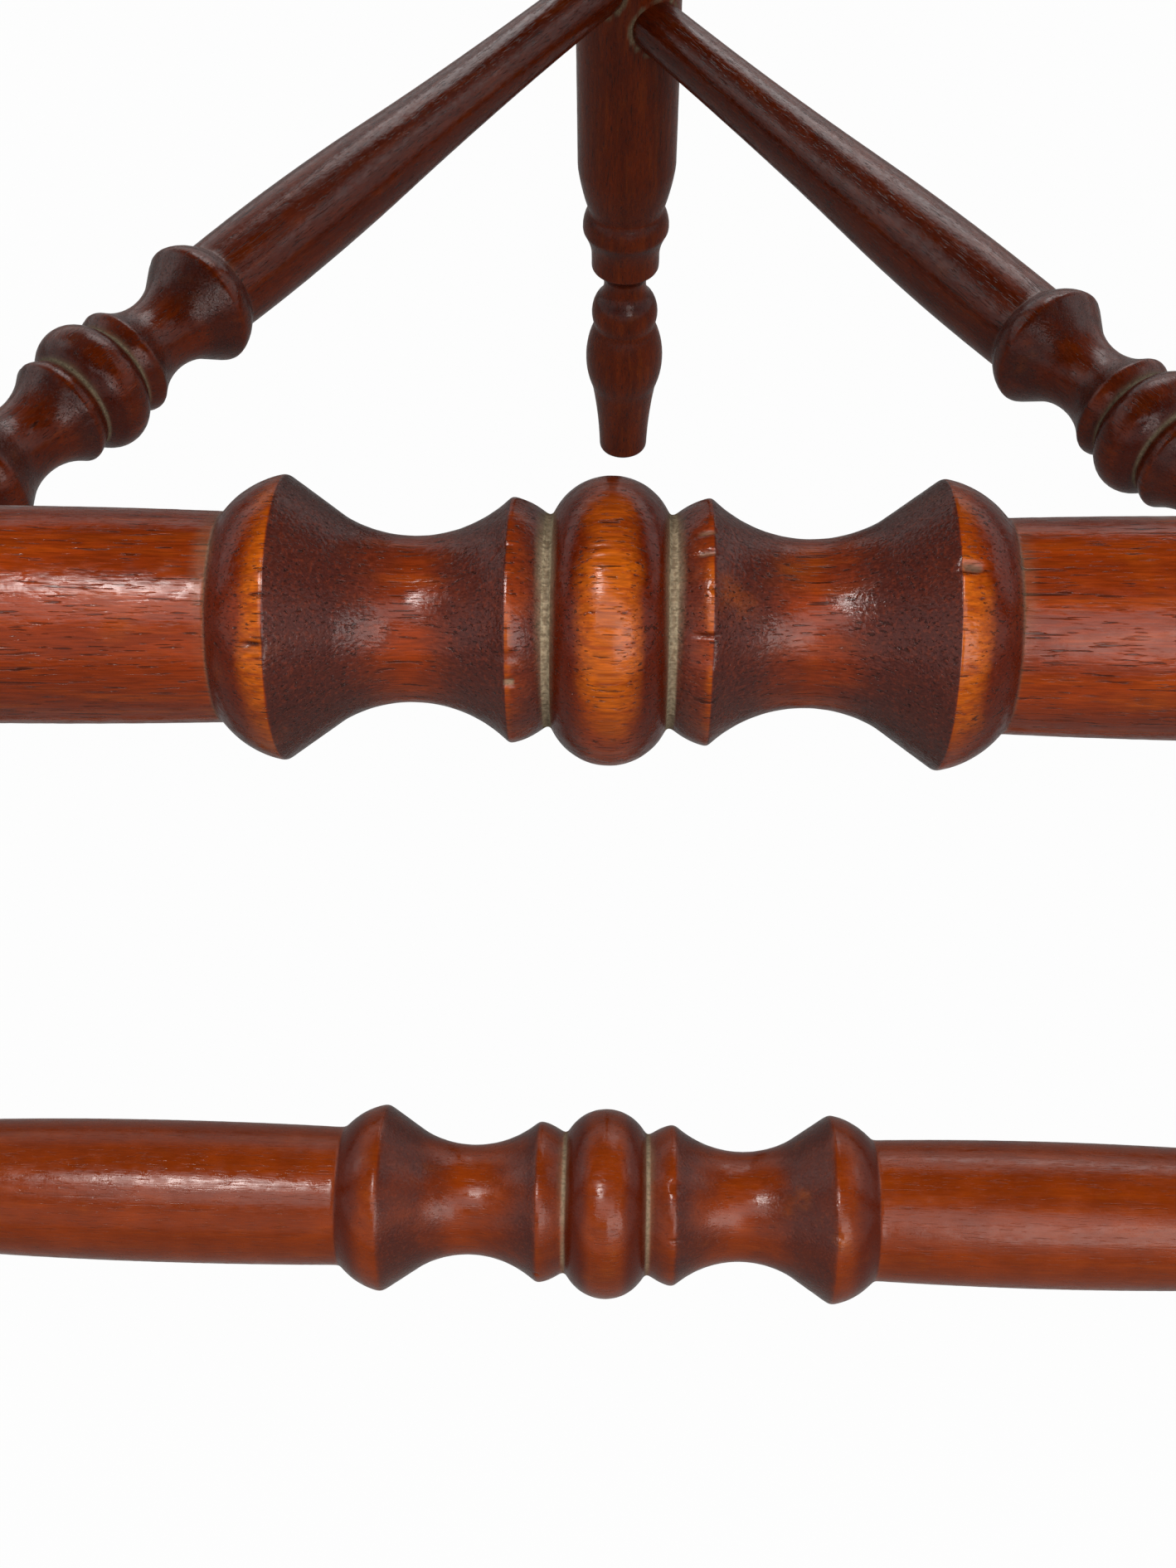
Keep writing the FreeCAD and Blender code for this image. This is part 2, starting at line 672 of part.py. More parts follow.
def make_rush(label):
    """The woven seat as one solid, hollow where the rails and the stuffing lie, and notched at the legs."""
    low = "rush_top - rush_thick"
    blank, pad = seat_slab(f"{label}_blank", "rush_edge", "rail_reach", low, "rush_thick")
    shortest = number("plan_depth") / 2
    round_edges(blank, pad, lambda edge: edge.Length > shortest, "rush_round")
    tools = [make_stuffing(f"{label}_hollow", "2 * rail_gap")]
    for name, (member, _, _) in SEAT_RAILS.items():
        tools.append(seat_rail_bar(f"{name}_channel", member, "floor_reach", "rail_gap"))
    for leg in LEGS.values():
        notch = doc.addObject("Part::Cylinder", "leg_notch")
        bind(notch, Radius="leg_radius + rail_gap", Height="rush_thick * 2")
        place(notch, (leg.x, leg.y, "rush_top - rush_thick * 1.5"))
        tools.append(notch)
    return bored(label, blank, tools)


# Back, arms and crest


def along_spindle(hand, index, reach):
    """A point on a spindle's axis, at a distance from its back rail's axis."""
    sign = "" if hand == "right" else "-"
    share = f"({reach}) / {hand}_length_{index}"
    return (
        f"{sign}(foot_x_{index} + out_{index} * {share})",
        f"front_y + foot_y_{index} + back_{index} * {share}",
        f"{BACK_RAILS[f'{hand}_back_rail'].height} + {hand}_rise_{index} * {share}",
    )


def spindle_way(hand, index):
    """The level part of the way up a spindle."""
    sign = "" if hand == "right" else "-"
    return f"{sign}out_{index}", f"back_{index}"


def spindle_bore(name, hand, index, start, end):
    """A round bore along a spindle's axis, between two distances from its back rail's axis."""
    base = along_spindle(hand, index, start)
    way = spindle_way(hand, index)
    return rod(name, base, way, f"{hand}_lean_{index}", "spindle_radius + glue_gap", f"({end}) - ({start})")


def make_spindle(label, hand, index):
    """A turned spindle between a back rail and an arm."""
    body = turn_body(label, spindle_stations(f"({hand}_length_{index} + spindle_drop)"))
    east, north = spindle_way(hand, index)
    base = along_spindle(hand, index, "-spindle_drop")
    place(body, base, (f"-({north})", east, "0"), f"{hand}_lean_{index}")
    return body


def make_back_rail(label, member):
    """A back rail, bored for the feet of its spindles."""
    hand = label.split("_")[0]
    blank = make_turned_member(f"{label}_blank", member, back_rail_stations)
    tools = [
        spindle_bore(f"{label}_bore", hand, index, "-spindle_drop - tip_gap", "2 * back_rail_radius")
        for index in range(1, SPINDLES_PER_SIDE + 1)
    ]
    return bored(label, blank, tools)


def arm_outline(side):
    """Plan of an arm on one side, +1 right or -1 left: rounded tip, side arc, rear bend and lap end."""
    lap_end = "bend_middle + sqrt((back_radius {} arm_half) ^ 2 - lap_half ^ 2)"
    corners = [
        ("tip_x + arm_half * tip_cos", "tip_y + arm_half * tip_sin", "side_radius + arm_half", "+"),
        ("turn_x + arm_half * bend_x", "turn_y + arm_half * bend_y", "back_radius + arm_half", "+"),
        ("-lap_half", lap_end.format("+"), None, ""),
        ("-lap_half", lap_end.format("-"), "back_radius - arm_half", "-"),
        ("turn_x - arm_half * bend_x", "turn_y - arm_half * bend_y", "side_radius - arm_half", "-"),
        ("tip_x - arm_half * tip_cos", "tip_y - arm_half * tip_sin", "arm_half", "+"),
        ("tip_x + arm_half * tip_sin", "tip_y - arm_half * tip_cos", "arm_half", "+"),
    ]
    outline = []
    for index, (x, y, radius, bulge) in enumerate(corners):
        rise = None
        if radius:
            next_x, next_y, _, _ = corners[(index + 1) % len(corners)]
            half_chord_squared = f"((({next_x}) - ({x})) ^ 2 + (({next_y}) - ({y})) ^ 2) / 4"
            rise = f"{bulge}({radius} - sqrt(({radius}) ^ 2 - {half_chord_squared}))"
        outline.append((x, y, rise))
    if side > 0:
        return [Corner(x, y, rise) for x, y, rise in outline]
    # The mirrored way round starts from the last corner, and each arc follows the corner that it led to
    mirrored = []
    for index in range(len(outline) - 1, -1, -1):
        x, y, _ = outline[index]
        mirrored.append(Corner(f"-({x})", y, outline[index - 1][2]))
    return mirrored


def post_bore(name, leg, top):
    """A bore for a post's tenon, from below the arms up to a height."""
    bore = doc.addObject("Part::Cylinder", name)
    bind(bore, Radius="post_tenon_radius + glue_gap", Height=f"{top} - arm_level + arm_thickness")
    place(bore, (LEGS[leg].x, LEGS[leg].y, "arm_level - arm_thickness"))
    return bore


def dowel_rods(name, grow):
    """The pair of dowels between the arms and the crest, or their bores where they are grown."""
    rods = []
    for hand in ("", "-"):
        dowel = doc.addObject("Part::Cylinder", name)
        bind(dowel, Radius=f"dowel_radius + {grow}", Height=f"dowel_below + dowel_above + 2 * {grow}")
        x = f"{hand}back_radius * sin(dowel_turn * 1 deg)"
        y = "front_y + bend_middle + back_radius * cos(dowel_turn * 1 deg)"
        place(dowel, (x, y, f"arm_top - dowel_below - {grow}"))
        rods.append(dowel)
    return rods


def make_arm(label):
    """One arm: a flat bent board, rounded, lapped with the other at the back, and bored."""
    hand = label.split("_")[0]
    side = 1 if hand == "right" else -1
    body, pad = pad_body(f"{label}_board", "XY_Plane", arm_outline(side), "arm_thickness")
    place(body, ("0", "front_y", "arm_level"))

    def level_arc(height):
        """A test for the arcs of the outline at a height of the board."""
        return lambda edge: edge.Curve.TypeId == "Part::GeomCircle" and all(
            abs(vertex.Z - height) < number("glue_gap") for vertex in edge.Vertexes
        )

    rounded = round_edges(body, pad, level_arc(number("arm_thickness")), "arm_top_round")
    round_edges(body, rounded, level_arc(0.0), "arm_under_round")
    lap = doc.addObject("Part::Box", f"{label}_lap")
    bind(lap, Length="2 * (lap_half + glue_gap)", Width="4 * arm_width", Height="arm_thickness")
    # The right arm keeps the upper half of the lap, the left arm the lower half
    away = "-" if side > 0 else "+"
    low = f"arm_level {away} (arm_thickness - glue_gap) / 2"
    place(lap, ("-lap_half - glue_gap", "rear_y - 2 * arm_width", low))
    tools = [lap, *dowel_rods(f"{label}_dowel_bore", "glue_gap")]
    for leg in (f"{hand}_front_leg", "rear_leg"):
        tools.append(post_bore(f"{label}_post_bore", leg, "arm_top + arm_thickness"))
    for index in range(1, SPINDLES_PER_SIDE + 1):
        top = f"{hand}_length_{index}"
        start = f"{top} - 3 * spindle_sink"
        tools.append(spindle_bore(f"{label}_bore", hand, index, start, f"{top} + tip_gap"))
    return bored(label, body, tools)


def make_crest(label):
    """The crest: a bent block on the rear bend, its top sawn to a level with an ogee fall at each end."""
    inner = "(back_radius - crest_width / 2)"
    outer = "(back_radius + crest_width / 2)"
    across = "sin(crest_turn * 1 deg)"
    back = "cos(crest_turn * 1 deg)"
    plan = [
        Corner(f"{outer} * {across}", f"{outer} * {back}", f"{outer} * (1 - {back})"),
        Corner(f"-{outer} * {across}", f"{outer} * {back}", None),
        Corner(f"-{inner} * {across}", f"{inner} * {back}", f"-{inner} * (1 - {back})"),
        Corner(f"{inner} * {across}", f"{inner} * {back}", None),
    ]
    block, _ = pad_body(f"{label}_block", "XY_Plane", plan, "crest_height")
    place(block, ("0", "front_y + bend_middle", "arm_top"))
    bend = "(crest_height + crest_end_height) / 2"
    knee = "crest_flat + crest_fall / 2"
    foot = "crest_flat + crest_fall"
    front = [
        Corner(f"-({outer})", "0", None),
        Corner(outer, "0", None),
        Corner(outer, "crest_end_height", None),
        Corner(foot, "crest_end_height", "-crest_ogee_rise"),
        Corner(knee, bend, "crest_ogee_rise"),
        Corner("crest_flat", "crest_height", None),
        Corner("-crest_flat", "crest_height", "crest_ogee_rise"),
        Corner(f"-({knee})", bend, "-crest_ogee_rise"),
        Corner(f"-({foot})", "crest_end_height", None),
        Corner(f"-({outer})", "crest_end_height", None),
    ]
    face, pad = pad_body(f"{label}_face", "XZ_Plane", front, f"4 * {outer}")
    pad.Midplane = True
    place(face, ("0", "front_y + bend_middle", "arm_top"))
    sawn = doc.addObject("Part::Common", f"{label}_sawn")
    sawn.Base = block
    sawn.Tool = face
    tools = [post_bore(f"{label}_post_bore", "rear_leg", f"{LEGS['rear_leg'].top} + tip_gap")]
    tools.extend(dowel_rods(f"{label}_dowel_bore", "glue_gap"))
    return bored(label, sawn, tools)


def grouped(label, solids):
    """Several like pieces in one node."""
    group = doc.addObject("Part::Compound", label)
    group.Links = solids
    return group


def build():
    """Make every piece of the chair, under the name of its node."""
    pieces = {}
    for label in LEGS:
        pieces[label] = make_leg(label)
    for label, member in STRETCHERS.items():
        pieces[label] = make_turned_member(label, member, stretcher_stations)
    for label, (member, start_height, end_height) in SEAT_RAILS.items():
        pieces[label] = make_seat_rail(label, member, start_height, end_height)
    pieces["rush_seat"] = make_rush("rush_seat")
    pieces["seat_stuffing"] = make_stuffing("seat_stuffing", "0")
    for label, member in BACK_RAILS.items():
        pieces[label] = make_back_rail(label, member)
    for hand in ("left", "right"):
        pieces[f"{hand}_arm"] = make_arm(f"{hand}_arm")
        for index in range(1, SPINDLES_PER_SIDE + 1):
            label = f"{hand}_spindle_{index}"
            pieces[label] = make_spindle(label, hand, index)
    pieces["crest"] = make_crest("crest")
    wedges = [make_wedge("wedge", LEGS[f"{hand}_front_leg"], "0") for hand in ("left", "right")]
    pieces["post_wedges"] = grouped("post_wedges", wedges)
    pieces["crest_dowels"] = grouped("crest_dowels", dowel_rods("dowel", "0"))
    return pieces


def write_parts(pieces):
    """Check every object and write each piece to its own file."""
    doc.recompute()
    for item in doc.Objects:
        if "Invalid" in item.State or "Error" in item.State:
            raise RuntimeError(f"{item.Label} failed: {item.State}")
    for label, piece in pieces.items():
        piece.Label = label
        if piece.Shape.isNull() or not piece.Shape.isValid() or not piece.Shape.Solids:
            raise RuntimeError(f"{label} has no sound solid")
    os.makedirs("parts", exist_ok=True)
    for label, piece in pieces.items():
        piece.Shape.exportStep(f"parts/{label}.step")


write_sizes()
write_parts(build())
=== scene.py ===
"""Looks of a three-cornered chair: turned legs and stretchers, a rush seat, a spindled back and bent arms.

Metres, +Z up, the front towards -Y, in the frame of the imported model.
"""

import logging
from collections.abc import Callable, Iterable, Mapping
from dataclasses import dataclass, field
from enum import Enum
from functools import partial

import bmesh
import bpy
import numpy as np
from mathutils import Matrix, Vector


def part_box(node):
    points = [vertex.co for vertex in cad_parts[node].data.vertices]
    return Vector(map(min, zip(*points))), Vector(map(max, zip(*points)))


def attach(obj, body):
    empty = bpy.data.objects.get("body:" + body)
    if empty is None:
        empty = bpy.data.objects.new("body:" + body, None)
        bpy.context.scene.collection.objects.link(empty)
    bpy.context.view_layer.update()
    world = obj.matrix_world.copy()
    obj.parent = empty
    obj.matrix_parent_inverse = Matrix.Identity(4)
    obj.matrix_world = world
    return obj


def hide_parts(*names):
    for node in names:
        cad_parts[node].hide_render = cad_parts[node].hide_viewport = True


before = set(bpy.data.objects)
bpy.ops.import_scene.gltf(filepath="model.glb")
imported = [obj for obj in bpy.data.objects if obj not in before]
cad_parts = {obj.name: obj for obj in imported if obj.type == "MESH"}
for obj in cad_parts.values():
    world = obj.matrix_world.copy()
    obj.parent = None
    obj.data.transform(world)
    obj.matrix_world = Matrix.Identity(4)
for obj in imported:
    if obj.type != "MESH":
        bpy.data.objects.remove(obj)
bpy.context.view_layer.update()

MM = 0.001
ROOT = "root"
UP = np.array([0.0, 0.0, 1.0])
# Points nearer than the first are merged, and edges shorter than the second are dissolved
MERGED, SLIVER = 1e-6, 1e-7
# How far each piece's grain is shifted at random
GRAIN_SHIFT = 0.4
# Numbers of a Mix node's colour sockets, because their names are those of its other kinds of data too
FACTOR, FIRST, SECOND, MIXED = 0, 6, 7, 2

Socket = bpy.types.NodeSocket
Material = bpy.types.Material
Piece = bpy.types.Object

log = logging.getLogger("corner_chair")


class Slot(Enum):
    """The record's material slots."""

    STAINED_WOOD = "stained_wood"
    BARE_WOOD = "bare_wood"
    RUSH = "rush"
    STUFFING = "stuffing"


class Hand(Enum):
    """The two sides of the chair, as the sign of x."""

    LEFT = -1
    RIGHT = 1

    @property
    def word(self) -> str:
        """The side's name in the nodes' names."""
        return self.name.lower()


# Shader nodes


def linear(colour: str) -> tuple[float, float, float, float]:
    """Turn an sRGB hex colour into linear light.

    Args:
        colour: six hex digits after a hash.

    Returns:
        Red, green, blue and an alpha of 1, linear.
    """
    coded = np.array([int(colour[place:place + 2], 16) / 255 for place in (1, 3, 5)])
    light = np.where(coded <= 0.04045, coded / 12.92, ((coded + 0.055) / 1.055) ** 2.4)
    return (*light.tolist(), 1.0)


def add_node(tree: bpy.types.NodeTree, kind: str, inputs: Mapping | Iterable = (), out: int | str = 0,
             **settings: object) -> Socket | None:
    """Add a shader node with its settings, and link or set its inputs.

    Args:
        tree: node tree of a material or a world.
        kind: the node's type, without the word ShaderNode.
        inputs: sockets to link or values to set, in order, or by an input's name or number.
        out: name or number of the output that is wanted.
        settings: the node's own properties.

    Returns:
        The wanted output, or nothing for a node that has none.
    """
    node = tree.nodes.new(f"ShaderNode{kind}")
    for name, value in settings.items():
        setattr(node, name, value)
    for key, value in inputs.items() if isinstance(inputs, Mapping) else enumerate(inputs):
        if isinstance(value, Socket):
            tree.links.new(value, node.inputs[key])
        else:
            node.inputs[key].default_value = value
    return node.outputs[out] if node.outputs else None


Adder = Callable[..., Socket | None]


# Finishes


class Finish:
    """A procedural finish: patterns with cells of a real size, and a surface painted from them."""

    name = ""
    # Size of each pattern's cells along the three axes of its coordinates
    cells_mm: Mapping[str, tuple[float, float, float]] = {}

    def patterns(self, add: Adder, where: Socket) -> dict[str, Socket]:
        """Lay every pattern of the finish on its coordinates.

        Args:
            add: adds a node to the material.
            where: coordinates in metres.

        Returns:
            Noise of about 0.25 to 0.75 for each pattern.
        """
        found = {}
        for name, cell in self.cells_mm.items():
            spot = add("VectorMath", (where, [1 / (size * MM) for size in cell]), operation="MULTIPLY")
            found[name] = add("TexNoise", {"Vector": spot, "Scale": 1.0, "Detail": 2.0})
        return found

    def paint(self, add: Adder) -> dict[str, Socket | float]:
        """Give what the Principled shader's inputs take."""
        raise NotImplementedError

    def make(self) -> Material:
        """Build the material.

        Returns:
            The new material.
        """
        material = bpy.data.materials.new(self.name)
        material.use_nodes = True
        material.node_tree.nodes.clear()
        add = partial(add_node, material.node_tree)
        add("OutputMaterial", {"Surface": add("BsdfPrincipled", self.paint(add))})
        return material


@dataclass(frozen=True)
class StainedWood(Finish):
    """Open-pored hardwood, turned or sawn, stained red mahogany, brushed with varnish and worn.

    It gives the eye a red-brown ground with amber bands and fine dark pores along the grain, rubbed orange
    crests, dark torn flanks where the tool cut across the grain, olive grime in grooves and a broken shine.
    It also carries painted shade: a darker ground on pieces that lie in shade, and dark slits in dents and
    narrow creases.
    """

    ground: str = "#84310a"
    streak: str = "#6c260a"
    amber: str = "#9c430c"
    # The side colour is also painted shade, a darker ground on pieces that lie in shade
    side: str = "#4c1405"
    rubbed: str = "#ae550d"
    rubbed_deep: str = "#8c3b0a"
    flank: str = "#3f201d"
    flank_red: str = "#56281f"
    pore: str = "#230d07"
    grime: str = "#a59a7f"
    grime_deep: str = "#7b7059"
    roughness: float = 0.12
    dull_roughness: float = 0.3
    satin_roughness: float = 0.3
    grime_roughness: float = 0.8
    specular: float = 0.22
    brush_limits: tuple[float, float] = (0.35, 0.65)
    blotch_swing: float = 0.9
    dust_blotch: float = 1.2
    dust_level: float = 0.5
    filled_pores: float = 0.7
    fibre_shade: float = 0.76
    fibre_swing: float = 0.42
    polish_shade: float = 0.92
    polish_calm: float = 0.6
    relief_mm: float = 0.1
    relief_strength: float = 0.8
    pore_depth: float = 0.8
    fibre_height: float = 0.2
    tool_height: float = 0.05
    brush_height: float = 0.85
    polish_flat: float = 0.65
    plain_height: float = 0.12
    name = "mahogany_stained_hardwood"
    cells_mm = {
        "pore": (4.0, 0.3, 0.3),
        "check": (18.0, 0.7, 0.7),
        "fibre": (3.5, 0.22, 0.22),
        "figure": (32.0, 4.5, 4.5),
        "band": (20.0, 1.8, 1.8),
        "tool": (0.45, 5.0, 5.0),
        "tear": (0.45, 0.5, 0.5),
        "brush": (2.2, 1.1, 1.1),
        "blotch": (7.0, 7.0, 7.0),
        # Real grime is finer than a pixel, so its crumbs are drawn as coarse as they need to show
        "crumb": (0.5, 0.5, 0.5),
    }
    # How far blotches push each mark to and fro
    pushes = {"side": 0.3, "torn": 0.4, "wear": 1.4}
    # Each mask: the pattern or mark that it comes from, where it starts and where it is full
    masks = {
        "pores": ("pore", 0.6, 0.68),
        "checks": ("check", 0.66, 0.73),
        "streak": ("check", 0.42, 0.72),
        "figure": ("figure", 0.36, 0.62),
        "band": ("band", 0.48, 0.72),
        "fibre": ("fibre", 0.3, 0.7),
        "mesh": ("tear", 0.5, 0.68),
        "crumb": ("crumb", 0.35, 0.65),
        "side": ("side", 0.15, 0.6),
        "torn": ("torn", 0.14, 0.56),
        "rubbed": ("wear", 0.1, 0.85),
        "grime": ("grime", 0.1, 0.8),
    }
    # The layers from the ground up, and the most that each hides of what is under it
    cover = {"figure": 0.8, "band": 0.45, "polish": 0.4, "side": 0.9, "torn": 0.9, "rubbed": 0.9,
             "dark": 0.75, "grime": 0.88, "nick_and_crease_shade": 1.0}

    def shares(self, add: Adder, pattern: dict[str, Socket], marks: dict[str, Socket]) -> dict[str, Socket]:
        """Mask the layers. Blotches push the marks, dust breaks the grime, and bands and polish fill pores.

        Args:
            add: adds a node to the material.
            pattern: the finish's patterns.
            marks: the pieces' attributes.

        Returns:
            A share of 0 to 1 for each mask, and for the dark of open pores.
        """
        swing = self.blotch_swing
        uneven = add("Math", (pattern["blotch"], swing, -swing / 2), operation="MULTIPLY_ADD")
        dust = add("Math", (pattern["crumb"], self.dust_level))
        dust = add("Math", (uneven, self.dust_blotch, dust), operation="MULTIPLY_ADD")
        roots = pattern | {"grime": add("Math", (dust, marks["grime"]), operation="MULTIPLY")}
        for mark, push in self.pushes.items():
            roots[mark] = add("Math", (uneven, push, marks[mark]), operation="MULTIPLY_ADD")
        found = {name: add("MapRange", {"Value": roots[root], "From Min": low, "From Max": high},
                           interpolation_type="SMOOTHSTEP") for name, (root, low, high) in self.masks.items()}
        found["dark"] = add("Math", (found["pores"], found["checks"]), operation="MAXIMUM")
        for filler in (marks["polish"], found["band"]):
            left = add("Math", (filler, -self.filled_pores, 1.0), operation="MULTIPLY_ADD")
            found["dark"] = add("Math", (found["dark"], left), operation="MULTIPLY")
        return found

    def colour(self, add: Adder, marks: dict[str, Socket], share: dict[str, Socket]) -> Socket:
        """Lay the layers over the ground, and draw the fibres' fine lines.

        Args:
            add: adds a node to the material.
            marks: the pieces' attributes.
            share: the masks.

        Returns:
            The wood's colour.
        """
        # The layer for dents and creases is painted shade in dents' slits and narrow creases, in the pores'
        # dark colour
        plain = {"figure": self.streak, "band": self.amber, "polish": self.amber, "side": self.side,
                 "dark": self.pore, "nick_and_crease_shade": self.pore}
        mixed = {"rubbed": ("streak", self.rubbed, self.rubbed_deep),
                 "torn": ("mesh", self.flank, self.flank_red),
                 "grime": ("crumb", self.grime, self.grime_deep)}
        layers = {name: linear(colour) for name, colour in plain.items()}
        for name, (mask, first, second) in mixed.items():
            tones = {FACTOR: share[mask], FIRST: linear(first), SECOND: linear(second)}
            layers[name] = add("Mix", tones, MIXED, data_type="RGBA")
        wood = linear(self.ground)
        parts = marks | share
        for name, most in self.cover.items():
            amount = add("Math", (parts[name], most), operation="MULTIPLY")
            wood = add("Mix", {FACTOR: amount, FIRST: wood, SECOND: layers[name]}, MIXED, data_type="RGBA")
        lines = add("Math", (share["fibre"], self.fibre_swing, self.fibre_shade), operation="MULTIPLY_ADD")
        calm = add("Math", (marks["polish"], self.polish_calm), operation="MULTIPLY")
        lines = add("Mix", {"Factor": calm, "A": lines, "B": self.polish_shade})
        shaded = {FACTOR: 1.0, FIRST: wood, SECOND: lines}
        return add("Mix", shaded, MIXED, data_type="RGBA", blend_type="MULTIPLY")

    def paint(self, add: Adder) -> dict[str, Socket | float]:
        """Paint from the pieces' grain, wear, side, torn, grime, nick, polish and satin attributes; the side
        and the nick attributes also carry painted shade.

        Args:
            add: adds a node to the material.

        Returns:
            What the Principled shader's inputs take.
        """
        marks = {name: add("Attribute", out="Fac", attribute_name=name)
                 for name in ("wear", "side", "torn", "grime", "nick_and_crease_shade", "polish", "satin")}
        pattern = self.patterns(add, add("Attribute", out="Vector", attribute_name="grain"))
        share = self.shares(add, pattern, marks)
        low, high = self.brush_limits
        shine = add("MapRange", {"Value": pattern["brush"], "From Min": low, "From Max": high,
                                 "To Min": self.roughness, "To Max": self.dull_roughness})
        shine = add("Math", (marks["satin"], self.satin_roughness, shine), operation="MULTIPLY_ADD")
        flattened = (marks["polish"], -self.polish_flat, self.brush_height)
        brushed = add("Math", flattened, operation="MULTIPLY_ADD")
        coarse = add("Math", (share["torn"], self.plain_height))
        weights = {"fibre": self.fibre_height, "tool": self.tool_height, "brush": brushed, "tear": coarse}
        height = add("Math", (share["dark"], -self.pore_depth), operation="MULTIPLY")
        for name, weight in weights.items():
            height = add("Math", (pattern[name], weight, height), operation="MULTIPLY_ADD")
        relief = {"Strength": self.relief_strength, "Distance": self.relief_mm * MM, "Height": height}
        gloss = {"Value": share["grime"], "To Min": shine, "To Max": self.grime_roughness}
        return {
            "Base Color": self.colour(add, marks, share),
            "Roughness": add("MapRange", gloss),
            "Specular IOR Level": self.specular,
            "Normal": add("Bump", relief),
        }


@dataclass(frozen=True)
class DryFinish(Finish):
    """A dull finish of two colours on the object's own coordinates: one pattern mixes them, one is raised."""

    pale: str
    dark: str
    roughness: float
    limits: tuple[float, float]
    relief_mm: float
    relief_strength: float
    mixed: str
    raised: str

    def paint(self, add: Adder) -> dict[str, Socket | float]:
        """Paint with the two colours and the raised pattern.

        Args:
            add: adds a node to the material.

        Returns:
            What the Principled shader's inputs take.
        """
        pattern = self.patterns(add, add("TexCoord", out="Object"))
        low, high = self.limits
        share = add("MapRange", {"Value": pattern[self.mixed], "From Min": low, "From Max": high})
        tones = {FACTOR: share, FIRST: linear(self.pale), SECOND: linear(self.dark)}
        relief = {"Strength": self.relief_strength, "Distance": self.relief_mm * MM,
                  "Height": pattern[self.raised]}
        return {
            "Base Color": add("Mix", tones, MIXED, data_type="RGBA"),
            "Roughness": self.roughness,
            "Normal": add("Bump", relief),
        }


@dataclass(frozen=True)
class BareWood(DryFinish):
    """Pale ash, riven or shaved and left without a finish.

    It gives the eye a dry straw-coloured ground with darker growth lines and no shine.
    """

    pale: str = "#c9a778"
    dark: str = "#9a7345"
    roughness: float = 0.75
    limits: tuple[float, float] = (0.42, 0.6)
    relief_mm: float = 0.1
    relief_strength: float = 0.5
    mixed: str = "growth"
    raised: str = "fibre"
    name = "bare_ash"
    cells_mm = {"growth": (3.0, 3.0, 60.0), "fibre": (0.8, 0.8, 14.0)}


@dataclass(frozen=True)
class StrawStuffing(DryFinish):
    """Chopped straw and rush ends, packed by hand. It gives the eye short tangled pale dashes."""

    pale: str = "#c8ad74"
    dark: str = "#7d6238"
    roughness: float = 0.85
    limits: tuple[float, float] = (0.35, 0.65)
    relief_mm: float = 1.5
    relief_strength: float = 0.9
    mixed: str = "ends"
    raised: str = "ends"
    name = "chopped_straw"
    cells_mm = {"ends": (2.0, 9.0, 2.0)}


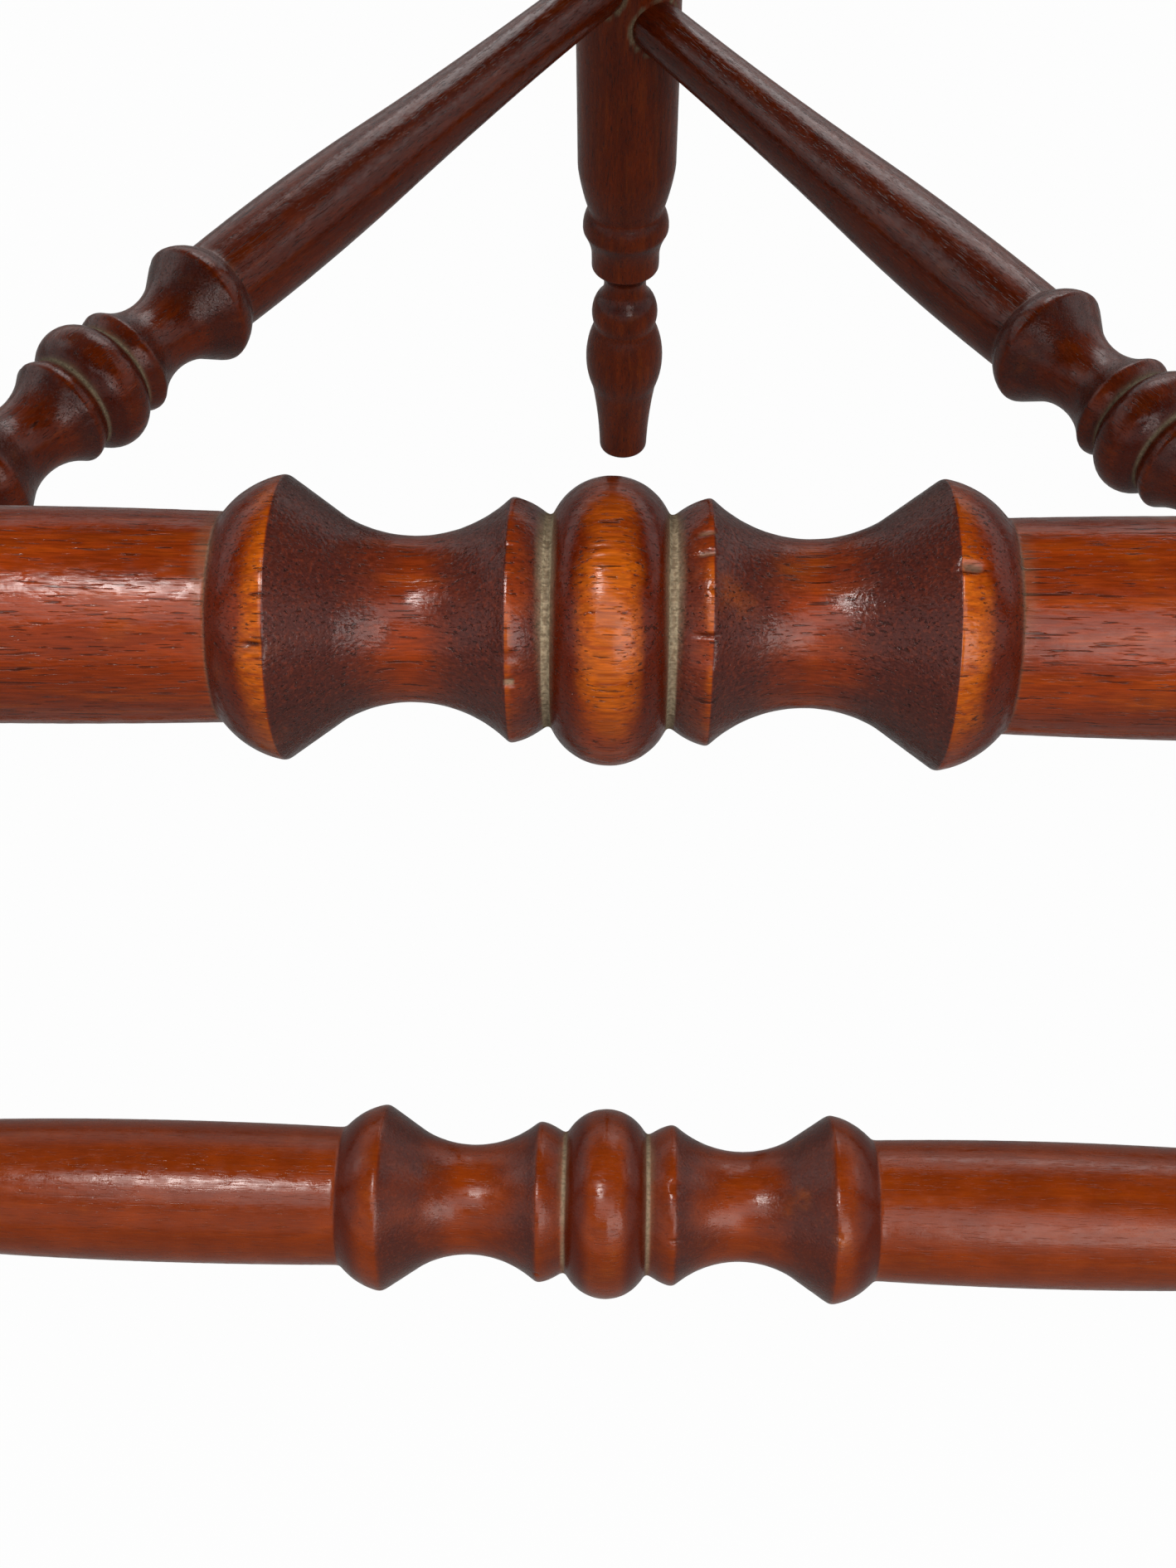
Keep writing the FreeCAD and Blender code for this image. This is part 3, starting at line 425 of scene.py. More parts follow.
@dataclass(frozen=True)
class RushCord(Finish):
    """Bulrush leaves twisted into cord by hand and left to age.

    It gives the eye straw, honey and olive strands with slanting twist lines, and painted shade in the gaps
    between them.
    """

    straw: str = "#b9955a"
    olive: str = "#8d7a45"
    tan: str = "#8a6435"
    # The gap colour is painted shade between the cords and at the seams
    gap: str = "#3a2916"
    roughness: float = 0.6
    specular: float = 0.3
    twist_mm: float = 7.0
    fold_mm: float = 3.0
    slant: float = 0.5
    turns_apart: float = 9.0
    aged_limits: tuple[float, float] = (0.45, 0.65)
    gap_shade_cover: float = 0.8
    least_shade: float = 0.45
    rib_shade: float = 0.5
    leaf_shade: float = 0.35
    rib_height: float = 0.6
    relief_mm: float = 0.5
    relief_strength: float = 0.7
    name = "twisted_bulrush"
    # Patches along a cord, and the leaf's ribs across its folds. Each cord has its place on the middle axis
    cells_mm = {"patch": (45.0, 45.0, 1e6), "rib": (1e6, 1.1, 1.1)}

    def paint(self, add: Adder) -> dict[str, Socket | float]:
        """Paint from the seat's hollows, which get painted shade, and strands, which are way along, place
        across and number.

        Args:
            add: adds a node to the material.

        Returns:
            What the Principled shader's inputs take.
        """
        strand = add("Attribute", out="Vector", attribute_name="strand")
        hollow = add("Attribute", out="Fac", attribute_name="hollow")
        along, across, count = (add("SeparateXYZ", (strand,), axis) for axis in range(3))
        number = add("TexWhiteNoise", {"W": count}, noise_dimensions="1D")
        turns = add("Math", (along, 1 / (self.twist_mm * MM)), operation="MULTIPLY")
        for part, weight in ((across, self.slant), (number, self.turns_apart)):
            turns = add("Math", (part, weight, turns), operation="MULTIPLY_ADD")
        fold = add("Math", (turns, self.fold_mm * MM), operation="MULTIPLY")
        pattern = self.patterns(add, add("CombineXYZ", (along, number, fold)))
        wave = add("Math", (add("Math", (turns, 2 * np.pi), operation="MULTIPLY"),), operation="SINE")
        leaf = add("Math", (wave, 0.5, 0.5), operation="MULTIPLY_ADD")
        low, high = self.aged_limits
        aged = add("MapRange", {"Value": pattern["patch"], "From Min": low, "From Max": high})
        # Painted shade in the gaps between cords and at the seams where they dive
        deep = add("Math", (hollow, self.gap_shade_cover), operation="MULTIPLY")
        shade = self.least_shade
        for part, weight in ((pattern["rib"], self.rib_shade), (leaf, self.leaf_shade)):
            shade = add("Math", (part, weight, shade), operation="MULTIPLY_ADD")
        layers = (
            (number, linear(self.olive), "MIX"),
            (aged, linear(self.tan), "MIX"),
            (1.0, shade, "MULTIPLY"),
            (deep, linear(self.gap), "MIX"),
        )
        colour = linear(self.straw)
        for part, layer, how in layers:
            tones = {FACTOR: part, FIRST: colour, SECOND: layer}
            colour = add("Mix", tones, MIXED, data_type="RGBA", blend_type=how)
        height = add("Math", (pattern["rib"], self.rib_height, leaf), operation="MULTIPLY_ADD")
        relief = {"Strength": self.relief_strength, "Distance": self.relief_mm * MM, "Height": height}
        return {
            "Base Color": colour,
            "Roughness": self.roughness,
            "Specular IOR Level": self.specular,
            "Normal": add("Bump", relief),
        }


@dataclass(frozen=True)
class Finishes:
    """One material for each finish of the chair."""

    stained_wood: Material
    bare_wood: Material
    rush: Material
    stuffing: Material

    @classmethod
    def make(cls) -> "Finishes":
        """Build every material once."""
        return cls(*(finish.make() for finish in (StainedWood(), BareWood(), RushCord(), StrawStuffing())))


# Meshes


def make_piece(name: str, points: np.ndarray, faces: list, attributes: Mapping[str, np.ndarray]) -> Piece:
    """Put a worked-out surface into a mesh object at the origin.

    Args:
        name: the piece's name.
        points: vertices, n by 3.
        faces: vertex numbers of each face.
        attributes: a number or a vector for every vertex, by name.

    Returns:
        The new object, shaded smooth, with its doubles merged and its faces outwards.
    """
    mesh = bpy.data.meshes.new(name)
    mesh.from_pydata(points.tolist(), [], faces)
    for attribute, values in attributes.items():
        vector = values.ndim == 2
        layer = mesh.attributes.new(attribute, "FLOAT_VECTOR" if vector else "FLOAT", "POINT")
        layer.data.foreach_set("vector" if vector else "value", values.astype(np.float32).ravel())
    work = bmesh.new()
    work.from_mesh(mesh)
    bmesh.ops.remove_doubles(work, verts=work.verts, dist=MERGED)
    bmesh.ops.dissolve_degenerate(work, edges=work.edges, dist=SLIVER)
    bmesh.ops.recalc_face_normals(work, faces=work.faces)
    work.to_mesh(mesh)
    work.free()
    mesh.polygons.foreach_set("use_smooth", np.ones(len(mesh.polygons), bool))
    mesh.update()
    piece = bpy.data.objects.new(name, mesh)
    bpy.context.scene.collection.objects.link(piece)
    return piece


def loft_faces(loops: int, points: int, caps: bool = True, start: int = 0) -> list:
    """Faces of a skin over closed loops of points, each loop joined to the next.

    Args:
        loops: how many loops.
        points: how many points each loop has.
        caps: whether a fan from an added point closes the first and the last loop. The two added points
            follow the loops' own points.
        start: number of the first vertex.

    Returns:
        Vertex numbers of each face.
    """
    row = np.arange(loops - 1)[:, None] * points
    column = np.arange(points)[None, :]
    after = (column + 1) % points
    quads = np.stack([row + column, row + after, row + points + after, row + points + column], -1)
    faces = (quads.reshape(-1, 4) + start).tolist()
    if caps:
        ring, ahead, last = column[0], after[0], (loops - 1) * points
        head, tail = np.full(points, loops * points), np.full(points, loops * points + 1)
        faces += (np.stack([ahead, ring, head], -1) + start).tolist()
        faces += (np.stack([last + ring, last + ahead, tail], -1) + start).tolist()
    return faces


def capped(grid: np.ndarray) -> np.ndarray:
    """Flatten loops of values to rows and add the mean of the first and of the last loop."""
    flat = grid.reshape(grid.shape[0] * grid.shape[1], *grid.shape[2:])
    return np.concatenate([flat, grid[:1].mean(1), grid[-1:].mean(1)])


def loft_piece(name: str, *skins: Mapping[str, np.ndarray]) -> Piece:
    """Skin closed loops of points, with a fan over the first and the last.

    Args:
        name: the piece's name.
        skins: each skin's points, loops by points by 3, and its other attributes for every point, by name.

    Returns:
        The new object.
    """
    faces, start = [], 0
    for skin in skins:
        loops, ring = skin["points"].shape[:2]
        faces += loft_faces(loops, ring, start=start)
        start += loops * ring + 2
    rows = {key: np.concatenate([capped(skin[key]) for skin in skins]) for key in skins[0]}
    return make_piece(name, rows.pop("points"), faces, rows)


def dress(piece: Piece, finish: Material, slot: Slot, *nodes: str) -> Piece:
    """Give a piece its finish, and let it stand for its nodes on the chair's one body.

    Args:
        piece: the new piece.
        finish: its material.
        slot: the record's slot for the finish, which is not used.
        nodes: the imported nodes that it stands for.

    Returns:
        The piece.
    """
    piece.data.materials.append(finish)
    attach(piece, ROOT)
    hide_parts(*nodes)
    log.info("%s: %d faces for %s", piece.name, len(piece.data.polygons), ", ".join(nodes))
    return piece


def node_middle(node: str) -> np.ndarray:
    """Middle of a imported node's box."""
    low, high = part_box(node)
    return (np.array(low) + np.array(high)) / 2


@dataclass(frozen=True)
class Plan:
    """Places of the three legs' axes on the floor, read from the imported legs."""

    left: np.ndarray
    right: np.ndarray
    rear: np.ndarray

    @classmethod
    def read(cls) -> "Plan":
        """Read the axes from the middles of the legs' boxes."""
        return cls(*[node_middle(f"{leg}_leg") * (1, 1, 0) for leg in ("left_front", "right_front", "rear")])

    def ends(self, node: str) -> tuple[np.ndarray, np.ndarray]:
        """The two leg axes that a level member joins, at its own height, by its node's name.

        Args:
            node: the member's node.

        Returns:
            A point on each axis.
        """
        height = UP * node_middle(node)[2]
        if "front" in node:
            return self.left + height, self.right + height
        return (self.left if "left" in node else self.right) + height, self.rear + height

    def outward(self, spot: np.ndarray, rise: float) -> np.ndarray:
        """Direction away from the chair's middle at a spot, raised by an angle."""
        away = (spot - (self.left + self.right + self.rear) / 3) * (1, 1, 0)
        return np.cos(rise) * away / np.linalg.norm(away) + np.sin(rise) * UP


# Turned work


@dataclass(frozen=True)
class Station:
    """A corner of a turned outline: place along the axis and radius.

    What follows it has a rise, a torn share, and a height above the running mean from which it is rubbed.
    """

    place: float
    radius: float
    rise: float = 0.0
    torn: float = 0.0
    rub: float = 1.2 * MM


@dataclass(frozen=True)
class Dent:
    """A dent cut in a turned surface: its middle, its size along and round the axis, and its depth.

    It is caked with grime by one share, and darkened by another as painted shade in its deepest slit.
    """

    place: float
    angle: float
    along: float
    around: float
    depth: float
    caked: float = 0.2
    dark: float = 0.5


def outline_points(stations: list[Station], step: float) -> np.ndarray:
    """Points along an outline of straight and arc stretches.

    An arc of chord c and rise h has the radius c^2 / 8h + h / 2, and is walked by equal angles.

    Args:
        stations: the corners in order.
        step: distance between points.

    Returns:
        Place, radius, torn share and rubbed height of each point.
    """
    stretches = []
    for start, end in zip(stations, stations[1:]):
        first = np.array([start.place, start.radius])
        chord = np.array([end.place, end.radius]) - first
        length = np.hypot(*chord)
        share = np.linspace(0, 1, max(2, int(np.ceil(length / step))), endpoint=False)[:, None]
        across = np.array([-chord[1], chord[0]]) / length
        lift = np.zeros_like(share)
        marks = np.full((len(share), 2), (start.torn, start.rub))
        if start.rise:
            rise = abs(start.rise)
            radius = length**2 / (8 * rise) + rise / 2
            turn = (2 * share - 1) * np.arcsin(length / 2 / radius)
            share = np.sin(turn) * radius / length + 0.5
            lift = np.copysign(np.cos(turn) * radius - radius + rise, start.rise)
        stretches.append(np.hstack([first + share * chord + lift * across, marks]))
    last = stations[-1]
    return np.concatenate([*stretches, [[last.place, last.radius, last.torn, last.rub]]])


def softened(values: np.ndarray, spread: float, step: float) -> np.ndarray:
    """Smooth evenly spaced values with a bell curve.

    Args:
        values: the values.
        spread: standard deviation of the bell curve.
        step: distance between values.

    Returns:
        As many values.
    """
    reach = int(np.ceil(3 * spread / step))
    bell = np.exp(-0.5 * (np.arange(-reach, reach + 1) * step / spread) ** 2)
    padded = np.pad(values, reach, mode="edge")
    return np.convolve(padded, bell / bell.sum(), mode="valid")


def ramp(values: np.ndarray, start: np.ndarray | float, width: float) -> np.ndarray:
    """Rise from 0 at a start to 1 a width further on."""
    return np.clip((values - start) / width, 0, 1)


@dataclass(frozen=True)
class Outline:
    """A turned outline, softened as a worn edge is, with its rows set closest where it bends."""

    stations: list[Station]
    rows: int
    focus: tuple[float, float] | None = None
    edge: float = 0.25 * MM
    step: float = 0.1 * MM
    far_density: float = 0.12
    bend_density: float = 6.0
    bend_spread: float = 0.3 * MM
    crest_spread: float = 7.0 * MM
    rub_fade: float = 1.2 * MM
    ridge_wear: float = 0.65
    torn_edge: float = 0.3
    least_torn: float = 0.2
    # The stretch that a ridge's bend is taken over, the bend where its wear starts and the width of its rise
    ridge = (0.6 * MM, 0.15, 0.4)
    # The same for what lies in hollows
    hollows = {
        "grime": (0.65 * MM, 0.36, 0.45),
        "haze": (2.0 * MM, 0.04, 0.25),
        # line: a dark line of painted shade in very narrow creases
        "line": (0.16 * MM, 0.7, 1.2),
    }

    def sampled(self) -> dict[str, np.ndarray]:
        """Rows of the outline.

        The bend is the turn of the tangent for each millimetre of outline, positive on crests. Wear is the
        height of a crest above the outline's own running mean, or the bend of a ridge, where it isn't torn.
        Grime, haze and a dark line are the hollow bend over narrow, wide and very narrow stretches; the dark
        line is painted shade in narrow creases. Side and torn are the sine of the slope.

        Returns:
            Place, radius, wear, side, torn, grime, haze and line of each row.
        """
        raw = outline_points(self.stations, self.step)
        way = np.concatenate([[0.0], np.cumsum(np.hypot(*np.diff(raw[:, :2], axis=0).T))])
        even = np.arange(0, way[-1], self.step)
        place, radius, flag, rub = (np.interp(even, way, values) for values in raw.T)
        place, radius = (softened(values, self.edge, self.step) for values in (place, radius))
        radius[[0, -1]] = raw[[0, -1], 1]
        slope = np.unwrap(np.arctan2(np.gradient(radius), np.gradient(place)))
        bend = -np.gradient(slope, self.step) * MM
        steep = np.abs(np.sin(slope))
        height = radius - softened(radius, self.crest_spread, self.step)
        spread, start, width = self.ridge
        ridge = ramp(softened(bend, spread, self.step), start, width)
        crest = np.maximum(ramp(height, rub, self.rub_fade), self.ridge_wear * ridge)
        found = {
            "place": place,
            "radius": np.maximum(radius, 0.0),
            "wear": ramp(1 - flag, 0.0, self.torn_edge) * crest,
            "side": steep * (1 - flag),
            "torn": (self.least_torn + (1 - self.least_torn) * steep) * flag,
        }
        for name, (spread, start, width) in self.hollows.items():
            found[name] = ramp(-softened(bend, spread, self.step), start, width)
        close = np.clip(np.abs(softened(bend, self.bend_spread, self.step)), 0, 1)
        density = 1.0 + self.bend_density * close
        if self.focus:
            inside = (place > self.focus[0]) & (place < self.focus[1])
            density *= np.where(inside, 1.0, self.far_density)
        counted = np.concatenate([[0.0], np.cumsum(density)[:-1]])
        chosen = np.interp(np.linspace(0, counted[-1], self.rows), counted, even)
        return {name: np.interp(chosen, even, values) for name, values in found.items()}


def waves(rng: np.random.Generator, count: int, turns: int, per_metre: float,
          place: np.ndarray, angle: np.ndarray) -> np.ndarray:
    """Random waves over a turned surface, whole numbers of them round it: a sum of cosines.

    Args:
        rng: seeded source of random numbers.
        count: how many waves are added up.
        turns: most waves round the axis.
        per_metre: most waves along the axis.
        place: places along the axis.
        angle: angles round it.

    Returns:
        About -1 to 1 for each place and angle.
    """
    around = rng.integers(0, turns + 1, count)
    along = rng.uniform(-per_metre, per_metre, count) * 2 * np.pi
    phase = rng.uniform(0, 2 * np.pi, count)
    parts = [np.cos(m * angle + k * place + p) for m, k, p in zip(around, along, phase)]
    return sum(parts) / np.sqrt(count)


@dataclass(frozen=True)
class Wear:
    """How a turned piece has aged: its shares of rubbing, tear-out, grime and polish, and of painted shade.

    The grime drifts along it, by a share for each metre from its middle, and its edges are softened.
    """

    rubbed: float = 1.0
    torn: float = 1.0
    grime: float = 1.0
    drift: float = 0.0
    stain: float = 0.0
    polish: float = 0.0
    edge: float = 0.4 * MM


@dataclass
class TurnedPiece:
    """A piece turned about an axis: the surface's radius is a function of place along and angle round it.

    The angle starts from the side that faces up, or from +X on an upright piece. The columns of points can
    gather towards one facing angle, where the finest nicks are, and the piece is rubbed most on one side.
    """

    name: str
    stations: list[Station]
    foot: np.ndarray
    axis: np.ndarray
    rows: int
    columns: int
    seed: int
    rubbed_from: np.ndarray
    wear: Wear = Wear()
    crests: list[Station] = field(default_factory=list)
    dents: list[Dent] = field(default_factory=list)
    sockets: list[tuple[np.ndarray, np.ndarray]] = field(default_factory=list)
    focus: tuple[float, float] | None = None
    facing: float = 0.0
    gather: float = 0.0
    upright: float = 0.7
    # Each kind of unevenness: how many waves, the most round the axis and the most for each metre
    unround: tuple[int, int, float] = (14, 3, 12.0)
    tool_marks: tuple[int, int, float] = (18, 1, 700.0)
    wobble: float = 0.07 * MM
    tool_share: float = 0.12
    core: float = 4.0 * MM
    nicks: tuple[int, int] = (2, 5)
    nick_depth: float = 0.35 * MM
    nick_share: tuple[float, float] = (0.3, 1.0)
    nick_mm: tuple[float, float] = (0.7, 2.2)
    nick_stray: float = 0.4 * MM
    full_dent: float = 0.4 * MM
    # How dark the painted shade is in dents' deepest slits and in very narrow creases
    dent_clean: float = 0.8
    slit_shade: float = 0.8
    crease_shade: float = 0.4
    least_rubbed: float = 0.15
    # Shares of grime and haze on what faces down, and what facing up adds
    groove_dust: tuple[float, float] = (0.75, 0.3)
    haze_dust: tuple[float, float] = (0.25, 0.3)
    torn_dust: float = 0.12
    drift_limits: tuple[float, float] = (1.0, 1.15)
    socket_radius: float = 8.2 * MM
    socket_fade: float = 0.8 * MM
    socket_grime: float = 0.8

    def frame_axes(self) -> tuple[np.ndarray, np.ndarray]:
        """The two directions across the axis from which angles are counted.

        Returns:
            Unit vectors square to the axis and to each other.
        """
        start = UP if abs(self.axis[2]) < self.upright else np.array([1.0, 0.0, 0.0])
        first = start - self.axis * (start @ self.axis)
        first /= np.linalg.norm(first)
        return first, np.cross(self.axis, first)

    def all_dents(self, rng: np.random.Generator) -> list[Dent]:
        """The listed dents, and a few small nicks at random on every crest.

        Args:
            rng: seeded source of random numbers.

        Returns:
            The dents.
        """
        found = list(self.dents)
        for crest in self.crests:
            for _ in range(rng.integers(*self.nicks)):
                depth = rng.uniform(*self.nick_share) * self.nick_depth
                size = rng.uniform(*self.nick_mm, 2) * MM
                place = crest.place + rng.normal(0, self.nick_stray)
                found.append(Dent(place, rng.uniform(0, 2 * np.pi), size[0], size[1], depth))
        return found

    def cut_dents(self, rng: np.random.Generator, place: np.ndarray, angle: np.ndarray,
                  radius: np.ndarray) -> np.ndarray:
        """Work out the dents: each falls off from its middle with the fourth power of the distance.

        Args:
            rng: seeded source of random numbers.
            place: places along the axis.
            angle: angles round it.
            radius: the outline's radius there.

        Returns:
            The depth that is cut away, and the dented, the caked and the slit share. The slit share is
            painted shade.
        """
        cut, dented, caked, slit = found = np.zeros((4, *radius.shape))
        for dent in self.all_dents(rng):
            off_along = (place - dent.place) / (dent.along / 2)
            turn = np.angle(np.exp(1j * (angle - dent.angle)))
            off_around = turn * radius / (dent.around / 2)
            shape = np.exp(-(off_along**4) - off_around**4)
            deep = shape * min(1.0, dent.depth / self.full_dent)
            cut += dent.depth * shape
            np.maximum(dented, deep, out=dented)
            np.maximum(caked, deep * dent.caked, out=caked)
            np.maximum(slit, deep**2 * dent.dark, out=slit)
        return found

    def settled(self, row: Mapping[str, np.ndarray], torn: np.ndarray, up: np.ndarray,
                points: np.ndarray) -> np.ndarray:
        """Grime in the hollows, dust on what is torn and faces up, and dirt round the members' sockets.

        Args:
            row: the outline's rows.
            torn: the torn share of each row.
            up: how far each point faces up.
            points: the points.

        Returns:
            The grime's share at each point.
        """
        place = row["place"]
        drift = np.clip(1 + self.wear.drift * (place - (place[0] + place[-1]) / 2), *self.drift_limits)
        grooves, haze = (least + more * up for least, more in (self.groove_dust, self.haze_dust))
        dust = row["haze"] * haze + self.torn_dust * torn * up**3
        grime = self.wear.grime * drift * np.maximum(row["grime"] * grooves, dust)
        for spot, way in self.sockets:
            offset = points - spot
            ahead = offset @ way
            gap = np.linalg.norm(offset - ahead[..., None] * way, axis=-1) - self.socket_radius
            ring = self.socket_grime * np.exp(-((gap / self.socket_fade) ** 2))
            grime = np.maximum(grime, ring * (ahead > 0))
        return grime

    def build(self) -> Piece:
        """Build the surface.

        A point at place a and angle t is the foot plus a along the axis plus r(a, t) across it, where r is
        the outline's radius, plus slow waves of a hand's unevenness, less the dents.

        Returns:
            The new object.
        """
        rng = np.random.default_rng(self.seed)
        line = Outline(self.stations, self.rows, self.focus, self.wear.edge).sampled()
        row = {name: values[:, None] for name, values in line.items()}
        place = row["place"]
        even = np.linspace(0, 2 * np.pi, self.columns, endpoint=False)[None, :]
        angle = self.facing + even - self.gather * np.sin(even)
        spread = np.zeros((self.rows, self.columns))
        base = row["radius"] + spread
        unround, tool = (waves(rng, *kind, place, angle) for kind in (self.unround, self.tool_marks))
        uneven = self.wobble * unround + self.tool_share * self.wobble * tool
        cut, dented, caked, slit = self.cut_dents(rng, place, angle, base)
        radius = base + np.minimum(1.0, base / self.core) * uneven - cut
        first, second = self.frame_axes()
        across = np.cos(angle)[..., None] * first + np.sin(angle)[..., None] * second
        points = self.foot + place[..., None] * self.axis + radius[..., None] * across
        up, faced = (np.clip(across @ way, 0, 1) for way in (UP, self.rubbed_from))
        rubbed = self.least_rubbed + (1 - self.least_rubbed) * faced**3
        torn = self.wear.torn * row["torn"]
        grain = np.stack([place + spread, radius * np.cos(angle), radius * np.sin(angle)], -1)
        return loft_piece(self.name, {
            "points": points,
            "grain": grain + rng.uniform(-GRAIN_SHIFT, GRAIN_SHIFT, 3),
            "wear": self.wear.rubbed * row["wear"] * rubbed * (1 - self.dent_clean * dented),
            # The side layer also carries the piece's painted shade, a darker ground where it lies in shade
            "side": np.maximum(row["side"], self.wear.stain) + spread,
            "torn": torn + spread,
            "grime": np.maximum(self.settled(row, torn, up, points), caked),
            # Painted shade: dark in the deepest slits of dents and in very narrow creases
            "nick_and_crease_shade": np.maximum(self.slit_shade * slit, self.crease_shade * row["line"]),
            "polish": self.wear.polish + spread,
        })


@dataclass(frozen=True)
class TurnedGroup:
    """The ring, cove and bead group that every turned member carries, from its middle outwards."""

    bead_radius: float = 16.5 * MM
    bead_half: float = 6.6 * MM
    groove_radius: float = 12.1 * MM
    groove_width: float = 0.5 * MM
    collar_offset: float = 11.2 * MM
    collar_radius: float = 14.1 * MM
    collar_rise: float = 0.3 * MM
    collar_torn: float = 0.75
    cove_sag: float = 3.2 * MM
    flank_offset: float = 30.2 * MM
    flank_radius: float = 11.6 * MM
    flange_offset: float = 36.9 * MM
    flange_radius: float = 16.4 * MM
    flange_rise: float = 0.8 * MM
    flange_end: float = 44.0 * MM
    neck_radius: float = 12.1 * MM
    bead_rub: float = 0.7 * MM
    flange_rub: float = 1.2 * MM

    def stations(self, middle: float, along: float = 1.0, across: float = 1.0,
                 after: float = 0.0) -> list[Station]:
        """Corners of the group about a middle, with the cove and the flange's inner flank torn.

        Args:
            middle: the group's middle along the axis.
            along: scale of its lengths.
            across: scale of its radii.
            after: rise of the arc that follows the group.

        Returns:
            The corners in order along the axis.
        """
        outwards = [
            (self.bead_half, self.groove_radius),
            (self.bead_half + self.groove_width, self.groove_radius),
            (self.collar_offset, self.collar_radius),
            (self.flank_offset, self.flank_radius),
            (self.flange_offset, self.flange_radius),
            (self.flange_end, self.neck_radius),
        ]
        rises = [0.0, self.collar_rise, -self.cove_sag, 0.0, self.flange_rise, after / across]
        torn = [0.0, self.collar_torn, 1.0, 1.0, 0.0, 0.0]
        rubs = [self.bead_rub] + [self.flange_rub] * (len(outwards) - 1)
        inwards = [self.bead_radius - self.groove_radius, *rises[:-1]]
        below = [Station(middle - p * along, r * across, h * across, t, b * across)
                 for (p, r), h, t, b in zip(outwards, inwards, [0.0, *torn[:-1]], rubs)]
        above = [Station(middle + p * along, r * across, h * across, t, self.flange_rub * across)
                 for (p, r), h, t in zip(outwards, rises, torn)]
        return below[::-1] + above

    def crests(self, middle: float, along: float = 1.0, across: float = 1.0) -> list[Station]:
        """The group's four sharp crests."""
        pairs = ((self.collar_offset, self.collar_radius), (self.flange_offset, self.flange_radius))
        return [Station(middle + s * p * along, r * across) for p, r in pairs for s in (-1, 1)]


@dataclass(frozen=True)
class Joints:
    """How level members end in the legs."""

    tip_reach: float = 2.8 * MM
    shoulder_reach: float = 13.83 * MM
    tenon_radius: float = 5.5 * MM
    end_radius: float = 7.8 * MM

    def tenoned(self, run: float, between: list[Station], taper_rise: float = 0.0) -> list[Station]:
        """Corners of a member between two legs' axes: a tenon at each end and the given corners between.

        Args:
            run: distance between the axes.
            between: the corners between the tapers.
            taper_rise: rise of each taper's arc.

        Returns:
            The corners in order.
        """
        last = between[-1]
        return [
            Station(self.tip_reach, 0.0),
            Station(self.tip_reach, self.tenon_radius),
            Station(self.shoulder_reach, self.tenon_radius),
            Station(self.shoulder_reach, self.end_radius, taper_rise),
            *between[:-1],
            Station(last.place, last.radius, taper_rise),
            Station(run - self.shoulder_reach, self.end_radius),
            Station(run - self.shoulder_reach, self.tenon_radius),
            Station(run - self.tip_reach, self.tenon_radius),
            Station(run - self.tip_reach, 0.0),
        ]


@dataclass(frozen=True)
class Assembly:
    """A part of the chair that is built by itself, on the legs' plan and in the chair's finishes."""

    plan: Plan
    finishes: Finishes

    def turn(self, node: str, **sizes: object) -> None:
        """Build the turned piece that stands for a node, and dress it."""
        piece = TurnedPiece(name=f"turned_{node}", **sizes).build()
        dress(piece, self.finishes.stained_wood, Slot.STAINED_WOOD, node)

    def build(self) -> None:
        """Build and dress the assembly's pieces."""
        raise NotImplementedError


